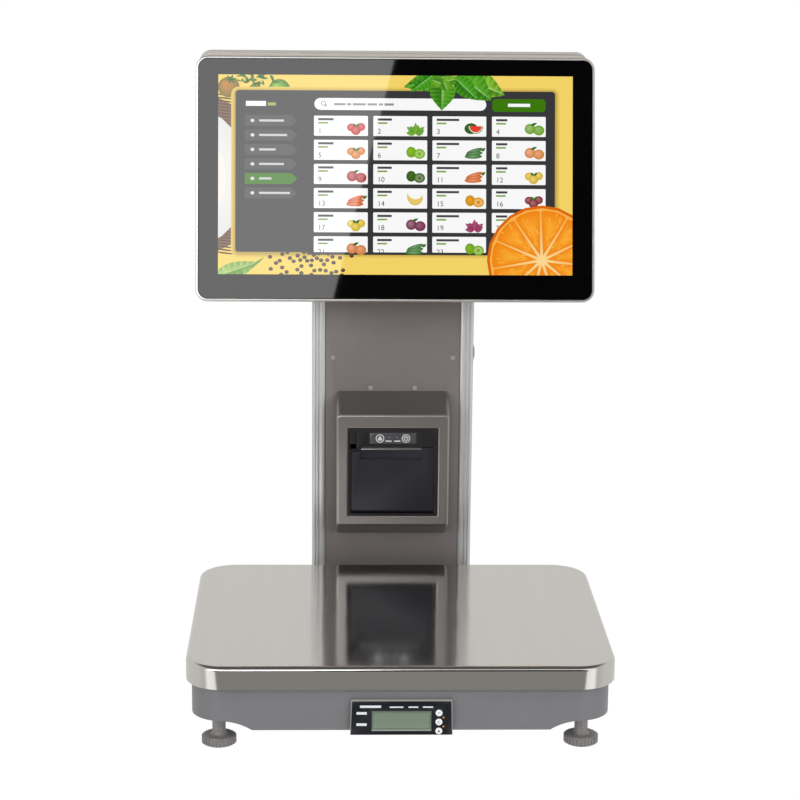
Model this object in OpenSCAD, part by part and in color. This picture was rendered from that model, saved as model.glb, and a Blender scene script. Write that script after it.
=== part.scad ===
// Label printing scale: a weighing base with a lift-off pan, a column that holds
// a drop-in label printer, and two tilting screens back to back on a head bracket.
// +Z is up, the operator stands on the -Y side, and the floor is at z = 0 under the
// middle of the outline.

/* [Weighing pan] */
// Width of the pan
pan_w = 380; // [320:1:460]
// Depth of the pan, front to back
pan_d = 300; // [250:1:360]
// Height of the pan's top above the floor
pan_top = 80.4; // [78:0.1:95]
// Height of the pan's turned-down lip
pan_lip = 21; // [14:1:24]
// Sheet thickness of the pan
pan_t = 1.5; // [1:0.1:2]
// Corner radius of the pan
pan_corner_r = 35; // [20:1:45]

/* [Weighing mechanism] */
// Thickness of the rubber pads under the pan
pad_t = 2.9; // [2:0.1:4]
// Radius of the rubber pads
pad_r = 11; // [8:0.5:14]
// Thickness of the spider's arms
spider_t = 7; // [5:0.5:9]
// Width of the spider's arms
spider_arm_w = 26; // [18:1:32]
// Gap under the spider's arms
spider_gap = 3; // [2.5:0.1:5]
// Height of the overload stops on the casing
stop_h = 2; // [1:0.1:2.1]
// Length of the load cell
cell_len = 130; // [120:1:160]
// Width of the load cell
cell_w = 30; // [25:1:40]
// Height of the load cell
cell_h = 22; // [20:0.1:26]
// Gap between the load cell's live end and the spider's post
cell_gap = 1; // [0.9:0.1:1.5]

/* [Base] */
// How far the casing stands back from the pan's edge
casing_inset = 5; // [4:0.5:12]
// Wall thickness of the casing
casing_wall = 2.5; // [2:0.1:3.5]
// Height of the casing's middle above the floor
ride_h = 20.7; // [18:0.1:25]
// How much higher the casing's ends are, over the feet
end_raise = 8.2; // [5:0.1:10]
// Thickness of the floor plate
floor_t = 3; // [2:0.1:4]
// Radius of the bubble level
level_r = 9; // [7:0.5:12]

/* [Feet] */
// Radius of a foot's knurled disc
foot_r = 15.8; // [12:0.1:18]
// Height of the disc
foot_h = 8.4; // [6:0.1:10]
// Radius of the foot's neck
foot_neck_r = 6; // [5.5:0.1:8]
// Radius of the foot's stud
stud_r = 5; // [4:0.1:5]
// Radial clearance of a shaft or stud in its hole
fit = 0.05; // [0.03:0.01:0.08]
// Distance of the front feet from the casing's edges
foot_inset = 24; // [20:1:30]
// Distance of the rear feet from the plinth's edges
rear_foot_inset = 19; // [17:1:24]

/* [Weight indicator] */
// Width of the indicator's face
ind_w = 90; // [80:1:110]
// Height of the indicator's face
ind_h = 32.1; // [28:0.1:36]
// How far the indicator's lower edge is below the casing's middle
ind_drop = 3.2; // [2.5:0.1:6]
// Thickness of the indicator's frame in front of the casing
ind_frame_t = 3.6; // [3:0.1:3.8]
// Thickness of the indicator's face sheet
ind_sheet_t = 0.9; // [0.5:0.1:1]
// Width of the liquid crystal window
lcd_w = 52.8; // [45:0.1:56]
// Height of the liquid crystal window
lcd_h = 18.6; // [15:0.1:20]
// Radius of the round keys
key_r = 3.1; // [2.5:0.1:3.3]
// Distance between the keys
key_pitch = 8.35; // [7:0.05:9]
// Distance of the keys from the middle
key_x = 32.8; // [31.5:0.1:36]
// Travel of a key
key_travel = 0.5; // [0.3:0.1:0.8]

/* [Column] */
// Width over the side profiles
col_w = 163; // [150:1:200]
// Width of a side profile
profile_w = 13.75; // [10:0.25:16]
// Depth of the column
col_d = 76; // [76:1:100]
// Height of the column's top
col_top = 338; // [310:1:410]
// Gap between the pan and the column
col_gap = 78; // [70:1:110]
// Height of the plinth's top above the casing's lower edge
plinth_rise = 29.3; // [26:0.1:34]
// Length of the plinth behind the column
plinth_tail = 36; // [36:1:60]
// Sheet thickness of the column's panels
sheet_t = 2; // [1.5:0.1:3]
// Distance from the column's top down to the power button
power_drop = 63.2; // [55:0.1:75]
// Radius of the power button
power_r = 5.5; // [4:0.1:7]

/* [Printer] */
// Width of the hood
hood_w = 113.4; // [106:0.1:120]
// How far the hood stands proud of the column
hood_proud = 32; // [28:0.1:40]
// Height of the hood's front face
hood_front_h = 115.1; // [110:0.1:125]
// Height of the hood where it meets the column
hood_back_h = 149.8; // [145:0.1:160]
// Height of the hood's middle above the plinth
hood_up = 113.6; // [108:0.1:125]
// Thickness of the hood's walls
hood_wall = 3; // [2:0.1:4]
// Width of the printer's face
prn_w = 90.5; // [88:0.1:94]
// Height of the printer's face
prn_h = 90.8; // [90:0.1:94]
// Width of the printer's door
door_w = 83; // [82.5:0.1:83.3]
// Thickness of the printer's door
door_t = 8; // [7:0.1:8.4]
// Radius of the platen roller
platen_r = 5; // [4:0.1:5.2]
// Radius of a full roll of labels
roll_r = 25; // [20:0.5:25]
// Width of the roll of labels
roll_w = 58; // [40:1:58]

/* [Screens] */
// Width of a screen
scr_w = 388; // [340:1:420]
// Height of a screen
scr_h = 238; // [215:0.1:290]
// Thickness of a screen
scr_t = 26; // [22:0.5:27]
// Corner radius of a screen
scr_corner_r = 12; // [8:0.5:20]
// Width of the bright rim around the glass
rim_w = 2.4; // [1.5:0.1:4]
// Thickness of the cover glass
glass_t = 1.8; // [1:0.1:3]
// Width of the picture
active_w = 344.2; // [300:0.1:350]
// Height of the picture
active_h = 193.6; // [170:0.1:198]
// How far the picture sits above the screen's middle
active_up = 4; // [0:0.1:8]
// How far a screen leans back at rest
lean = 13.6; // [8:0.1:15]
// Gap between the column's rear top edge and a hanging screen that swings past it
swing_gap = 8.258; // [8:0.001:30]
// Half the distance between the two tilt axes
pin_half = 17; // [16:0.5:22]
// Distance from a tilt axis down to its screen's middle
pin_drop = 48.5; // [40:0.5:60]
// Distance from a tilt axis to its screen's back
pin_back = 9; // [8.5:0.1:11]
// Radius of the hinge pins
pin_r = 4; // [3:0.1:4]

/* [Hidden] */
$fn = 64;
slack = 0.3;          // gap between pieces that move past each other
stack_clear = 0.2;    // gap between faces that only lie close

// Places along Y: the outline runs from the pan's front edge to the plinth's inlet.
overall_d = pan_d + col_gap + col_d + plinth_tail;
front_y = -overall_d / 2;
pan_y = front_y + pan_d / 2;
col_y = front_y + pan_d + col_gap;
col_back = col_y + col_d;
inlet_lip = 2;
plinth_back = -front_y - inlet_lip;

// Heights that follow the casing's height above the floor
plinth_top = ride_h + plinth_rise;
ind_z = ride_h - ind_drop;
inlet_z = (ride_h + floor_t + plinth_top) / 2;

// Base casing
casing_w = pan_w - 2 * casing_inset;
casing_d = pan_d - 2 * casing_inset;
casing_front = pan_y - casing_d / 2;
casing_back = pan_y + casing_d / 2;
casing_r = pan_corner_r - casing_inset;
spider_z = pan_top - pan_t - pad_t - spider_t;
casing_top = spider_z - spider_gap;
end_len = 54;                    // length of each raised end of the casing
flat_half = casing_w / 2 - end_len;
sweep_len = 29;                  // length of the sweep up to the raised ends
sweep_steps = 8;
floor_half = flat_half - casing_wall;
plinth_w = col_w - 1;
plinth_r = 12;
stem_half = plinth_w / 2 - 6;    // half width of the way from the casing to the plinth
foot_x = casing_w / 2 - foot_inset;
foot_y = casing_front + foot_inset;
rear_foot_x = plinth_w / 2 - rear_foot_inset;
rear_foot_y = plinth_back - rear_foot_inset;
neck_gap = 2.4;                  // gap between a foot's neck and the boss above it
boss_wall = 4;
boss_h = 17;

// Weighing mechanism
cell_z = ride_h + floor_t + 8;
cell_end = 30;                   // length of each end block
cell_bore_r = 7;
live_x = cell_len / 2 - cell_end / 2;
post_w = cell_end;
post_d = cell_w;
spider_x = pan_w / 2 - 40;
spider_y = pan_d / 2 - 38;
spider_boss_r = pad_r + 4;

// Weight indicator
ind_mid = ind_z + ind_h / 2;
ind_back = casing_front;
ind_face = ind_back - ind_frame_t;
ind_side = 0.9;                  // how much each side leans in towards the top
ind_edge = 0.6;                  // rim of the frame around the sheet
lcd_mid = ind_mid - 2.95;
key_mid = ind_mid - 3.8;
key_clear = 0.1;
box_w = 2 * key_x - 2 * key_r - 2;
box_h = 21;
box_z = ind_mid + 1;
box_d = 16;
box_wall = 1.5;
led_r = 0.85;
led_x = key_x + key_r + 0.9;

// Column
panel_w = col_w - 2 * profile_w;
panel_y = col_y + 1;
rear_cover_y = col_back - sheet_t - 2;
step_y = col_y + 32;             // where the column's top starts to fall
low_y = step_y + 15;
low_drop = 14;                   // how much lower the column's top is at the back
cap_t = 2;
profile_wall = 2;
groove_w = 1.4;
groove_d = 1;
screw_r = 2.6;
screw_head = 0.9;
power_y = col_y + 20;
power_z = col_top - power_drop;
power_out = 2;

// Printer
hood_z = plinth_top + hood_up;
prn_front = col_y - hood_proud + 0.8;
prn_z = hood_z - 1.7;
prn_low = prn_z - prn_h / 2;
prn_high = prn_z + prn_h / 2;
bezel_t = 4;
sill_h = 2.3;                    // height of the bezel below the door
door_front = prn_front + 0.5;
door_back = door_front + door_t;
door_r = door_t / 2;
door_pivot_y = door_front + door_r;
door_pivot_z = prn_low + sill_h + 0.2 + door_r;
door_pin_r = 1.5;
door_h = 64;                     // from the hinge to the door's top
door_top = door_pivot_z + door_h;
brow_z = door_top + 0.9;         // underside of the bezel above the door
notch_w = 7.4;                   // low corner of the door under the release lever
notch_h = 3.8;
chute_x = -1.5;
chute_w = 63;
chute_h = 11.8;
chute_d = 3;
bar_h = 2;
bar_t = 1.2;
platen_z = door_top - 8;
platen_half = 32;
platen_shaft_r = 2.5;
ear_t = 3;
gear_w = 3;
platen_teeth = 26;
pinion_teeth = 16;
gear_module = 0.46;
gear_tip = 0.5;
platen_gear_r = platen_teeth * gear_module / 2 + gear_tip;
pinion_r = pinion_teeth * gear_module / 2 + gear_tip;
gear_x = platen_half + ear_t + 1.6;
platen_y = door_back + slack + platen_gear_r;
pinion_y = platen_y + platen_gear_r + pinion_r + slack;
chassis_half = prn_w / 2 - 0.75;
chassis_t = 2.5;
chassis_back = prn_front + 76;
motor_r = 10;
motor_len = 8.5;
motor_shaft_r = 1.2;
head_t = 3;
head_y = platen_y + platen_r + slack;
head_half = platen_half;
head_top = platen_z + 9;
head_h = 20;
head_pin_r = 1.5;
head_pin_y = head_y + head_t / 2;
roll_y = prn_front + 44.2;
roll_z = prn_low + 32.5;
core_r = 9;
well_gap = 2;
well_wall = 2;
well_r = roll_r + well_gap;
well_half = roll_w / 2 + well_gap;
well_cut = roll_z + 9;
strip_w = 47;
strip_h = 11.3;
strip_t = 0.8;
strip_z = prn_high - 4.5 - strip_h / 2;
button_r = 4.4;
button_x = 13.05;
lever_w = 6.1;
lever_h = 11;
lever_x = -prn_w / 2 + 5.1;
lever_top = prn_high - 5.1;
lever_travel = 5;
lever_t = 4.4;

// Screens and the head bracket
head_mid = col_y + 15;           // plane halfway between the two screens
// a screen's lower rear edge clears the column's rear top edge as it swings
pin_z = col_top - low_drop + swing_gap + sqrt(pow(pin_drop + scr_h / 2, 2) + pow(pin_back, 2));
tower_w = 56;
tower_d = 16;
tower_wall = 2.5;
tower_low = col_top - 42;
tower_top = pin_z + 8;
lug_t = 8;
lug_r = pin_r + 1.5;
lug_x = tower_w / 2 - lug_t;
ear_x = 8;
leaf_t = 3;
leaf_w = 100;
leaf_low = -60;
leaf_high = 12;
rim_d = 8;
shell_wall = 2.5;
panel_d = 7;

// ---------- shapes used by several pieces ----------

// Rectangle with round corners, centred.
module round_rect(w, d, r) {
    square([w - 2 * r, d], center = true);
    square([w, d - 2 * r], center = true);
    for (x = [-1, 1], y = [-1, 1])
        translate([x * (w / 2 - r), y * (d / 2 - r)]) circle(r);
}

// Box given by its two far corners.
module span(low, high) {
    translate(low) cube(high - low);
}

// Cylinder along X, from x0 to x1.
module bar_x(x0, x1, y, z, r) {
    translate([x0, y, z]) rotate([0, 90, 0]) cylinder(h = x1 - x0, r = r);
}

// Cylinder along Y, from y0 to y1.
module bar_y(y0, y1, x, z, r) {
    translate([x, y0, z]) rotate([-90, 0, 0]) cylinder(h = y1 - y0, r = r);
}

// Outline in the Y-Z plane, extruded from x0 to x1.
module prism_x(x0, x1, points) {
    translate([x0, 0, 0]) rotate([90, 0, 90]) linear_extrude(x1 - x0) polygon(points);
}

// Spur gear outline with straight-sided teeth.
module gear_outline(teeth, tip_r) {
    root_r = tip_r - 2 * gear_tip;
    step = 360 / teeth;
    polygon([for (i = [0 : teeth - 1], k = [0 : 3])
        let (a = step * (i + [0, 0.22, 0.5, 0.72][k]), r = k < 2 ? tip_r : root_r)
        [r * cos(a), r * sin(a)]]);
}

// ---------- base ----------

// Height of the casing's lower edge above its middle, at distance t (0 to 1) up the sweep.
function sweep(t) = end_raise * (1 - pow(1 - t, 2.2));

// Front view of the casing, with its ends swept up over the feet and its sides brought
// in by inset. Its lower edge is lifted by lift.
module casing_front_view(inset, lift, top) {
    half = casing_w / 2 - inset;
    right = [for (i = [0 : sweep_steps]) let (t = i / sweep_steps)
        [flat_half + t * sweep_len, ride_h + lift + sweep(t)]];
    left = [for (i = [sweep_steps : -1 : 0]) [-right[i][0], right[i][1]]];
    end_z = ride_h + lift + end_raise;
    polygon(concat(right, [[half, end_z], [half, top], [-half, top], [-half, end_z]], left));
}

module casing_block(inset, lift, top) {
    intersection() {
        translate([0, pan_y, 0]) linear_extrude(top)
            round_rect(casing_w - 2 * inset, casing_d - 2 * inset, casing_r - inset);
        translate([0, casing_back, 0]) rotate([90, 0, 0]) linear_extrude(casing_d)
            casing_front_view(inset, lift, top);
    }
}

module base_casing() color([0.47, 0.47, 0.48]) {
    difference() {
        union() {
            difference() {
                casing_block(0, 0, casing_top);
                casing_block(casing_wall, casing_wall, casing_top - casing_wall);
                // open bottom, closed by the floor plate
                span([-floor_half - stack_clear, casing_front + casing_wall, ride_h - 1],
                     [floor_half + stack_clear, casing_back - casing_wall, ride_h + 10]);
                // way for the floor plate and cables into the plinth
                span([-stem_half, casing_back - casing_wall - 1, ride_h - 1],
                     [stem_half, casing_back + 1, plinth_top - casing_wall]);
                // opening over the load cell's live end
                span([live_x - post_w / 2 - 5, pan_y - post_d / 2 - 5, casing_top - 5],
                     [live_x + post_w / 2 + 5, pan_y + post_d / 2 + 5, casing_top + 1]);
                // opening behind the indicator
                span([-box_w / 2 - slack, casing_front - 1, box_z - box_h / 2 - slack],
                     [box_w / 2 + slack, casing_front + casing_wall + 1,
                      box_z + box_h / 2 + slack]);
            }
            for (x = [-1, 1])
                translate([x * foot_x, foot_y, ride_h + end_raise])
                    cylinder(h = boss_h, r = stud_r + boss_wall);
            for (x = [-1, 1], y = [-1, 1])
                translate([x * spider_x, pan_y + y * spider_y, casing_top - 1])
                    cylinder(h = stop_h + 1, r = pad_r / 2);
        }
        for (x = [-1, 1])
            translate([x * foot_x, foot_y, ride_h]) cylinder(h = boss_h + 12, r = stud_r + fit);
    }
}

module base_floor_plate() color([0.35, 0.36, 0.38]) {
    difference() {
        union() {
            span([-floor_half, casing_front + casing_wall + stack_clear, ride_h],
                 [floor_half, casing_back - casing_wall, ride_h + floor_t]);
            span([-stem_half + stack_clear, casing_back - casing_wall - 1, ride_h],
                 [stem_half - stack_clear, casing_back + 1, ride_h + floor_t]);
            translate([0, 0, ride_h]) linear_extrude(floor_t) plinth_outline(0);
        }
        for (x = [-1, 1])
            translate([x * rear_foot_x, rear_foot_y, ride_h - 1])
                cylinder(h = floor_t + 2, r = stud_r + 0.5);
    }
}

module load_cell() color([0.72, 0.73, 0.75]) {
    difference() {
        span([-cell_len / 2, pan_y - cell_w / 2, cell_z],
             [cell_len / 2, pan_y + cell_w / 2, cell_z + cell_h]);
        for (x = [-1, 1])
            bar_y(pan_y - cell_w, pan_y + cell_w, x * 11, cell_z + cell_h / 2, cell_bore_r);
        span([-11, pan_y - cell_w, cell_z + cell_h / 2 - 2],
             [11, pan_y + cell_w, cell_z + cell_h / 2 + 2]);
    }
}

module load_cell_block() color([0.6, 0.61, 0.63]) {
    span([-cell_len / 2, pan_y - cell_w / 2, ride_h + floor_t],
         [-cell_len / 2 + cell_end, pan_y + cell_w / 2, cell_z]);
}

module pan_spider() color([0.62, 0.63, 0.65]) {
    arm = atan2(spider_y, spider_x);
    reach = sqrt(spider_x * spider_x + spider_y * spider_y);
    plate_end = live_x + post_w / 2 + 8;
    translate([0, pan_y, spider_z]) linear_extrude(spider_t) {
        for (a = [arm, -arm]) rotate(a) square([2 * reach, spider_arm_w], center = true);
        for (x = [-1, 1], y = [-1, 1]) translate([x * spider_x, y * spider_y]) circle(spider_boss_r);
        square([2 * plate_end, 2 * post_d], center = true);
    }
    span([live_x - post_w / 2, pan_y - post_d / 2, cell_z + cell_h + cell_gap],
         [live_x + post_w / 2, pan_y + post_d / 2, spider_z + 1]);
}

module spider_pads() color([0.12, 0.12, 0.12]) {
    for (x = [-1, 1], y = [-1, 1])
        translate([x * spider_x, pan_y + y * spider_y, spider_z + spider_t])
            cylinder(h = pad_t, r = pad_r);
}

module weighing_pan() color([0.76, 0.75, 0.73]) {
    translate([0, pan_y, pan_top - pan_lip]) difference() {
        linear_extrude(pan_lip) round_rect(pan_w, pan_d, pan_corner_r);
        translate([0, 0, -1]) linear_extrude(pan_lip + 1 - pan_t)
            round_rect(pan_w - 2 * pan_t, pan_d - 2 * pan_t, pan_corner_r - pan_t);
    }
}

module bubble_level() color([0.6, 0.85, 0.3]) {
    translate([0, casing_front + 30, casing_top]) {
        cylinder(h = 5, r = level_r);
        translate([0, 0, 5]) cylinder(h = 1.2, r = level_r - 1.5);
    }
}

// Foot with a knurled disc, a flared neck and a stud, standing on the floor at x, y and
// reaching up to a boss whose underside is at boss_z.
module levelling_foot(x, y, boss_z) color([0.46, 0.45, 0.43]) {
    ribs = 28;
    rib = 0.9;
    flare = 3;
    translate([x, y, 0]) {
        cylinder(h = foot_h, r = foot_r - rib);
        for (i = [0 : ribs - 1]) rotate([0, 0, i * 360 / ribs])
            translate([foot_r - 2 * rib, -0.9, 1]) cube([2 * rib, 1.8, foot_h - 2]);
        rotate_extrude() difference() {
            translate([0, foot_h - 1]) square([foot_neck_r + flare, flare + 1]);
            translate([foot_neck_r + flare, foot_h + flare]) circle(flare);
        }
        cylinder(h = boss_z - neck_gap, r = foot_neck_r);
        cylinder(h = boss_z + boss_h - 3, r = stud_r);
    }
}

module foot_front_left() levelling_foot(-foot_x, foot_y, ride_h + end_raise);
module foot_front_right() levelling_foot(foot_x, foot_y, ride_h + end_raise);
module foot_rear_left() levelling_foot(-rear_foot_x, rear_foot_y, ride_h);
module foot_rear_right() levelling_foot(rear_foot_x, rear_foot_y, ride_h);

// ---------- weight indicator ----------

// Face outline, slightly narrower at the top, brought in by inset.
module indicator_outline(inset) {
    low = ind_w / 2 - inset;
    high = low - ind_side;
    polygon([[-low, ind_z + inset], [low, ind_z + inset],
             [high, ind_z + ind_h - inset], [-high, ind_z + ind_h - inset]]);
}

module key_holes(y0, y1, r) {
    for (k = [-1 : 1]) bar_y(y0, y1, key_x, key_mid + k * key_pitch, r);
}

module indicator_housing() color([0.7, 0.71, 0.68]) {
    difference() {
        union() {
            translate([0, ind_back, 0]) rotate([90, 0, 0]) linear_extrude(ind_frame_t)
                indicator_outline(0);
            span([-box_w / 2, ind_back - 1, box_z - box_h / 2],
                 [box_w / 2, ind_back + box_d, box_z + box_h / 2]);
        }
        // window for the glass, and the box's hollow for the board, open at the back
        span([-lcd_w / 2 - 1, ind_face - 1, lcd_mid - lcd_h / 2 + 1],
             [lcd_w / 2 + 1, ind_back, lcd_mid + lcd_h / 2 + 0.5]);
        span([-box_w / 2 + box_wall, ind_back - 0.5, box_z - box_h / 2 + box_wall],
             [box_w / 2 - box_wall, ind_back + box_d + 1, box_z + box_h / 2 - box_wall]);
        key_holes(ind_face - 1, ind_back + 1, key_r + key_clear);
        for (k = [-0.5, 0.5])
            bar_y(ind_face - 1, ind_face + 2, led_x, key_mid + k * key_pitch,
                  led_r + key_clear);
    }
}

module indicator_face() color([0.11, 0.125, 0.17]) {
    difference() {
        translate([0, ind_face, 0]) rotate([90, 0, 0]) linear_extrude(ind_sheet_t)
            indicator_outline(ind_edge);
        span([-lcd_w / 2, ind_face - 2, lcd_mid - lcd_h / 2],
             [lcd_w / 2, ind_face + 1, lcd_mid + lcd_h / 2]);
        key_holes(ind_face - 2, ind_face + 1, key_r + key_clear);
        for (k = [-0.5, 0.5])
            bar_y(ind_face - 2, ind_face + 1, led_x, key_mid + k * key_pitch,
                  led_r + key_clear);
    }
}

module indicator_lcd() color([0.48, 0.57, 0.49]) {
    span([-lcd_w / 2 + stack_clear, ind_face - 0.4, lcd_mid - lcd_h / 2 + 1.2],
         [lcd_w / 2 - stack_clear, ind_face + 2.4, lcd_mid + lcd_h / 2 - stack_clear]);
}

module indicator_board() color([0.1, 0.35, 0.2]) {
    span([-box_w / 2 + box_wall, ind_back + 4, box_z - box_h / 2 + box_wall],
         [box_w / 2 - box_wall, ind_back + 5.6, box_z + box_h / 2 - box_wall]);
    span([-12, ind_back + 5.6, box_z - 5], [2, ind_back + 7.4, box_z + 5]);
}

module indicator_key(k) color([0.9, 0.9, 0.9]) {
    bar_y(ind_face - ind_sheet_t + 0.1, ind_back - key_travel - stack_clear, key_x,
          key_mid + k * key_pitch, key_r);
}

module zero_key() indicator_key(1);
module tare_key() indicator_key(0);
module unit_key() indicator_key(-1);

module indicator_leds() color([0.85, 0.6, 0.25]) {
    for (k = [-0.5, 0.5])
        bar_y(ind_face - ind_sheet_t + 0.2, ind_face + 2, led_x, key_mid + k * key_pitch,
              led_r);
}

// ---------- column ----------

module plinth_outline(inset) {
    half = plinth_w / 2 - inset;
    r = plinth_r - inset;
    translate([0, (casing_back + plinth_back - r - inset) / 2])
        square([2 * half, plinth_back - inset - r - casing_back], center = true);
    translate([0, plinth_back - inset - r]) {
        square([2 * half - 2 * r, 2 * r], center = true);
        for (x = [-1, 1]) translate([x * (half - r), 0]) circle(r);
    }
}

module inlet_outline(grow) {
    square([27 + 2 * grow, 19 + 2 * grow], center = true);
}

module column_plinth() color([0.42, 0.42, 0.43]) {
    z0 = ride_h + floor_t;
    difference() {
        union() {
            difference() {
                translate([0, 0, z0]) linear_extrude(plinth_top - z0) plinth_outline(0);
                translate([0, 0, z0 - 1]) linear_extrude(plinth_top - z0 + 1 - casing_wall)
                    plinth_outline(casing_wall);
                span([-stem_half, casing_back - 1, z0 - 1],
                     [stem_half, casing_back + casing_wall + 1, plinth_top - casing_wall]);
            }
            for (x = [-1, 1])
                translate([x * rear_foot_x, rear_foot_y, z0])
                    cylinder(h = plinth_top - z0 - 1, r = stud_r + boss_wall);
        }
        for (x = [-1, 1])
            translate([x * rear_foot_x, rear_foot_y, z0 - 1])
                cylinder(h = boss_h, r = stud_r + fit);
        translate([0, plinth_back + 1, inlet_z]) rotate([90, 0, 0])
            linear_extrude(casing_wall + 2) inlet_outline(slack);
        // cable way up into the column
        span([-30, col_y + 20, plinth_top - casing_wall - 1], [30, col_y + 50, plinth_top + 1]);
    }
}

// Side view of the column, its top lowered by drop.
module column_side_view(x0, x1, drop) {
    prism_x(x0, x1, [[col_y, plinth_top], [col_back, plinth_top],
        [col_back, col_top - low_drop - drop], [low_y, col_top - low_drop - drop],
        [step_y, col_top - drop], [col_y, col_top - drop]]);
}

// Plan of the right-hand side profile: a hollow extrusion with grooves in its front and
// outer faces.
module profile_plan() {
    x0 = panel_w / 2;
    difference() {
        translate([x0 + profile_w / 2, col_y + col_d / 2]) round_rect(profile_w, col_d, 3);
        translate([x0 + profile_w / 2, col_y + col_d / 2])
            square([profile_w - 2 * profile_wall - groove_d, col_d - 4 * profile_wall],
                   center = true);
        for (x = [0.46, 0.72])
            translate([x0 + x * profile_w, col_y]) square([groove_w, 2 * groove_d], center = true);
        for (i = [0 : 4])
            translate([x0 + profile_w, col_y + 12 + i * (col_d - 24) / 4])
                square([2 * groove_d, groove_w], center = true);
    }
}

module side_profile() {
    intersection() {
        translate([0, 0, plinth_top]) linear_extrude(col_top) profile_plan();
        column_side_view(0, col_w, cap_t);
    }
}

module column_left_profile() color([0.74, 0.74, 0.73]) mirror([1, 0, 0]) side_profile();

module column_right_profile() color([0.74, 0.74, 0.73]) {
    difference() {
        side_profile();
        bar_x(panel_w / 2 - 1, col_w, power_y, power_z, power_r + 1.2);
    }
}

module hood_way(y0, y1, margin) {
    span([-hood_w / 2 + hood_wall - margin, y0, hood_z - hood_front_h / 2 + hood_wall - margin],
         [hood_w / 2 - hood_wall + margin, y1, hood_z + hood_front_h / 2 - hood_wall + margin]);
}

module column_front_panel() color([0.4, 0.39, 0.385]) {
    difference() {
        span([-panel_w / 2, panel_y, plinth_top],
             [panel_w / 2, panel_y + sheet_t, col_top - cap_t]);
        hood_way(panel_y - 1, panel_y + sheet_t + 1, 0);
    }
}

module column_rear_cover() color([0.4, 0.39, 0.385]) {
    difference() {
        span([-panel_w / 2, rear_cover_y, plinth_top],
             [panel_w / 2, rear_cover_y + sheet_t, col_top - low_drop - cap_t]);
        for (i = [0 : 9], x = [-1, 1])
            span([x * 26 - 21, rear_cover_y - 1, power_z - 45 + i * 7],
                 [x * 26 + 21, rear_cover_y + sheet_t + 1, power_z - 42 + i * 7]);
    }
}

module column_top_cap() color([0.3, 0.3, 0.3]) {
    difference() {
        intersection() {
            column_side_view(-col_w / 2, col_w / 2, 0);
            span([-col_w, col_y, col_top - low_drop - cap_t], [col_w, col_back, col_top]);
        }
        column_side_view(-col_w, col_w, cap_t);
        tower_way(slack);
    }
}

// Clear way for the head bracket's tower.
module tower_way(margin) {
    span([-tower_w / 2 - margin, head_mid - tower_d / 2 - margin, col_top - 60],
         [tower_w / 2 + margin, head_mid + tower_d / 2 + margin, col_top + 1]);
}

module head_bracket() color([0.25, 0.25, 0.26]) {
    difference() {
        union() {
            span([-tower_w / 2, head_mid - tower_d / 2, tower_low],
                 [tower_w / 2, head_mid + tower_d / 2, tower_top]);
            span([-panel_w / 2, head_mid - tower_d / 2, tower_low],
                 [panel_w / 2, head_mid + tower_d / 2 + 10, tower_low + leaf_t]);
            for (x = [-1, 1], side = [-1, 1]) {
                x0 = x > 0 ? lug_x : -lug_x - lug_t;
                y1 = head_mid + side * pin_half;
                bar_x(x0, x0 + lug_t, y1, pin_z, lug_r);
                span([x0, min(y1, head_mid), pin_z - lug_r],
                     [x0 + lug_t, max(y1, head_mid), pin_z + lug_r]);
            }
        }
        span([-tower_w / 2 + tower_wall, head_mid - tower_d / 2 + tower_wall, tower_low - 1],
             [tower_w / 2 - tower_wall, head_mid + tower_d / 2 - tower_wall, tower_top + 1]);
        for (side = [-1, 1])
            bar_x(-tower_w, tower_w, head_mid + side * pin_half, pin_z, pin_r + fit);
    }
}

module hinge_pins() color([0.7, 0.7, 0.72]) {
    for (side = [-1, 1]) {
        y = head_mid + side * pin_half;
        bar_x(-tower_w / 2 - 1, tower_w / 2 + 1, y, pin_z, pin_r);
        for (x = [-1, 1])
            bar_x(x > 0 ? tower_w / 2 + stack_clear : -tower_w / 2 - stack_clear - 2,
                  x > 0 ? tower_w / 2 + stack_clear + 2 : -tower_w / 2 - stack_clear,
                  y, pin_z, pin_r + 1);
    }
}

module button_head(x, y0, z, side) {
    bar_y(side < 0 ? y0 - screw_head : y0, side < 0 ? y0 : y0 + screw_head, x, z, screw_r);
}

module panel_screws() color([0.55, 0.55, 0.55]) {
    screw_high = power_z - 1.8;
    for (x = [-1, 1]) {
        button_head(x * (panel_w / 2 - 7.2), panel_y, screw_high, -1);
        button_head(x * hood_w * 0.197, panel_y, hood_z + hood_back_h / 2 + 3.3, -1);
        for (z = [plinth_top + 15, hood_z, col_top - low_drop - 15])
            button_head(x * (panel_w / 2 - 6), rear_cover_y + sheet_t, z, 1);
    }
}

module main_board() color([0.1, 0.3, 0.18]) {
    y = rear_cover_y - 12;
    z = power_z - 50;
    span([-55, y, z], [55, y + 1.6, z + 85]);
    span([-22, y - 12, z + 25], [22, y, z + 65]);
    for (x = [-1, 1], h = [6, 79])
        bar_y(y + 1.6, rear_cover_y, x * 49, z + h, 2.5);
}

module power_supply() color([0.55, 0.56, 0.58]) {
    span([-50, rear_cover_y - 24, plinth_top + 8], [50, rear_cover_y, plinth_top + 62]);
}

module mains_inlet() color([0.08, 0.08, 0.08]) {
    depth = 24;
    difference() {
        union() {
            translate([0, plinth_back, inlet_z]) rotate([90, 0, 0]) linear_extrude(depth)
                inlet_outline(0);
            translate([0, plinth_back + inlet_lip, inlet_z]) rotate([90, 0, 0])
                linear_extrude(inlet_lip) inlet_outline(2);
        }
        translate([0, plinth_back + inlet_lip + 1, inlet_z]) rotate([90, 0, 0])
            linear_extrude(depth - 2) inlet_outline(-1.5);
    }
    for (p = [[-7, -2.5], [0, 2.5], [7, -2.5]])
        span([p[0] - 1, plinth_back - depth + 3, inlet_z + p[1] - 2],
             [p[0] + 1, plinth_back - 5, inlet_z + p[1] + 2]);
}

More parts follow.
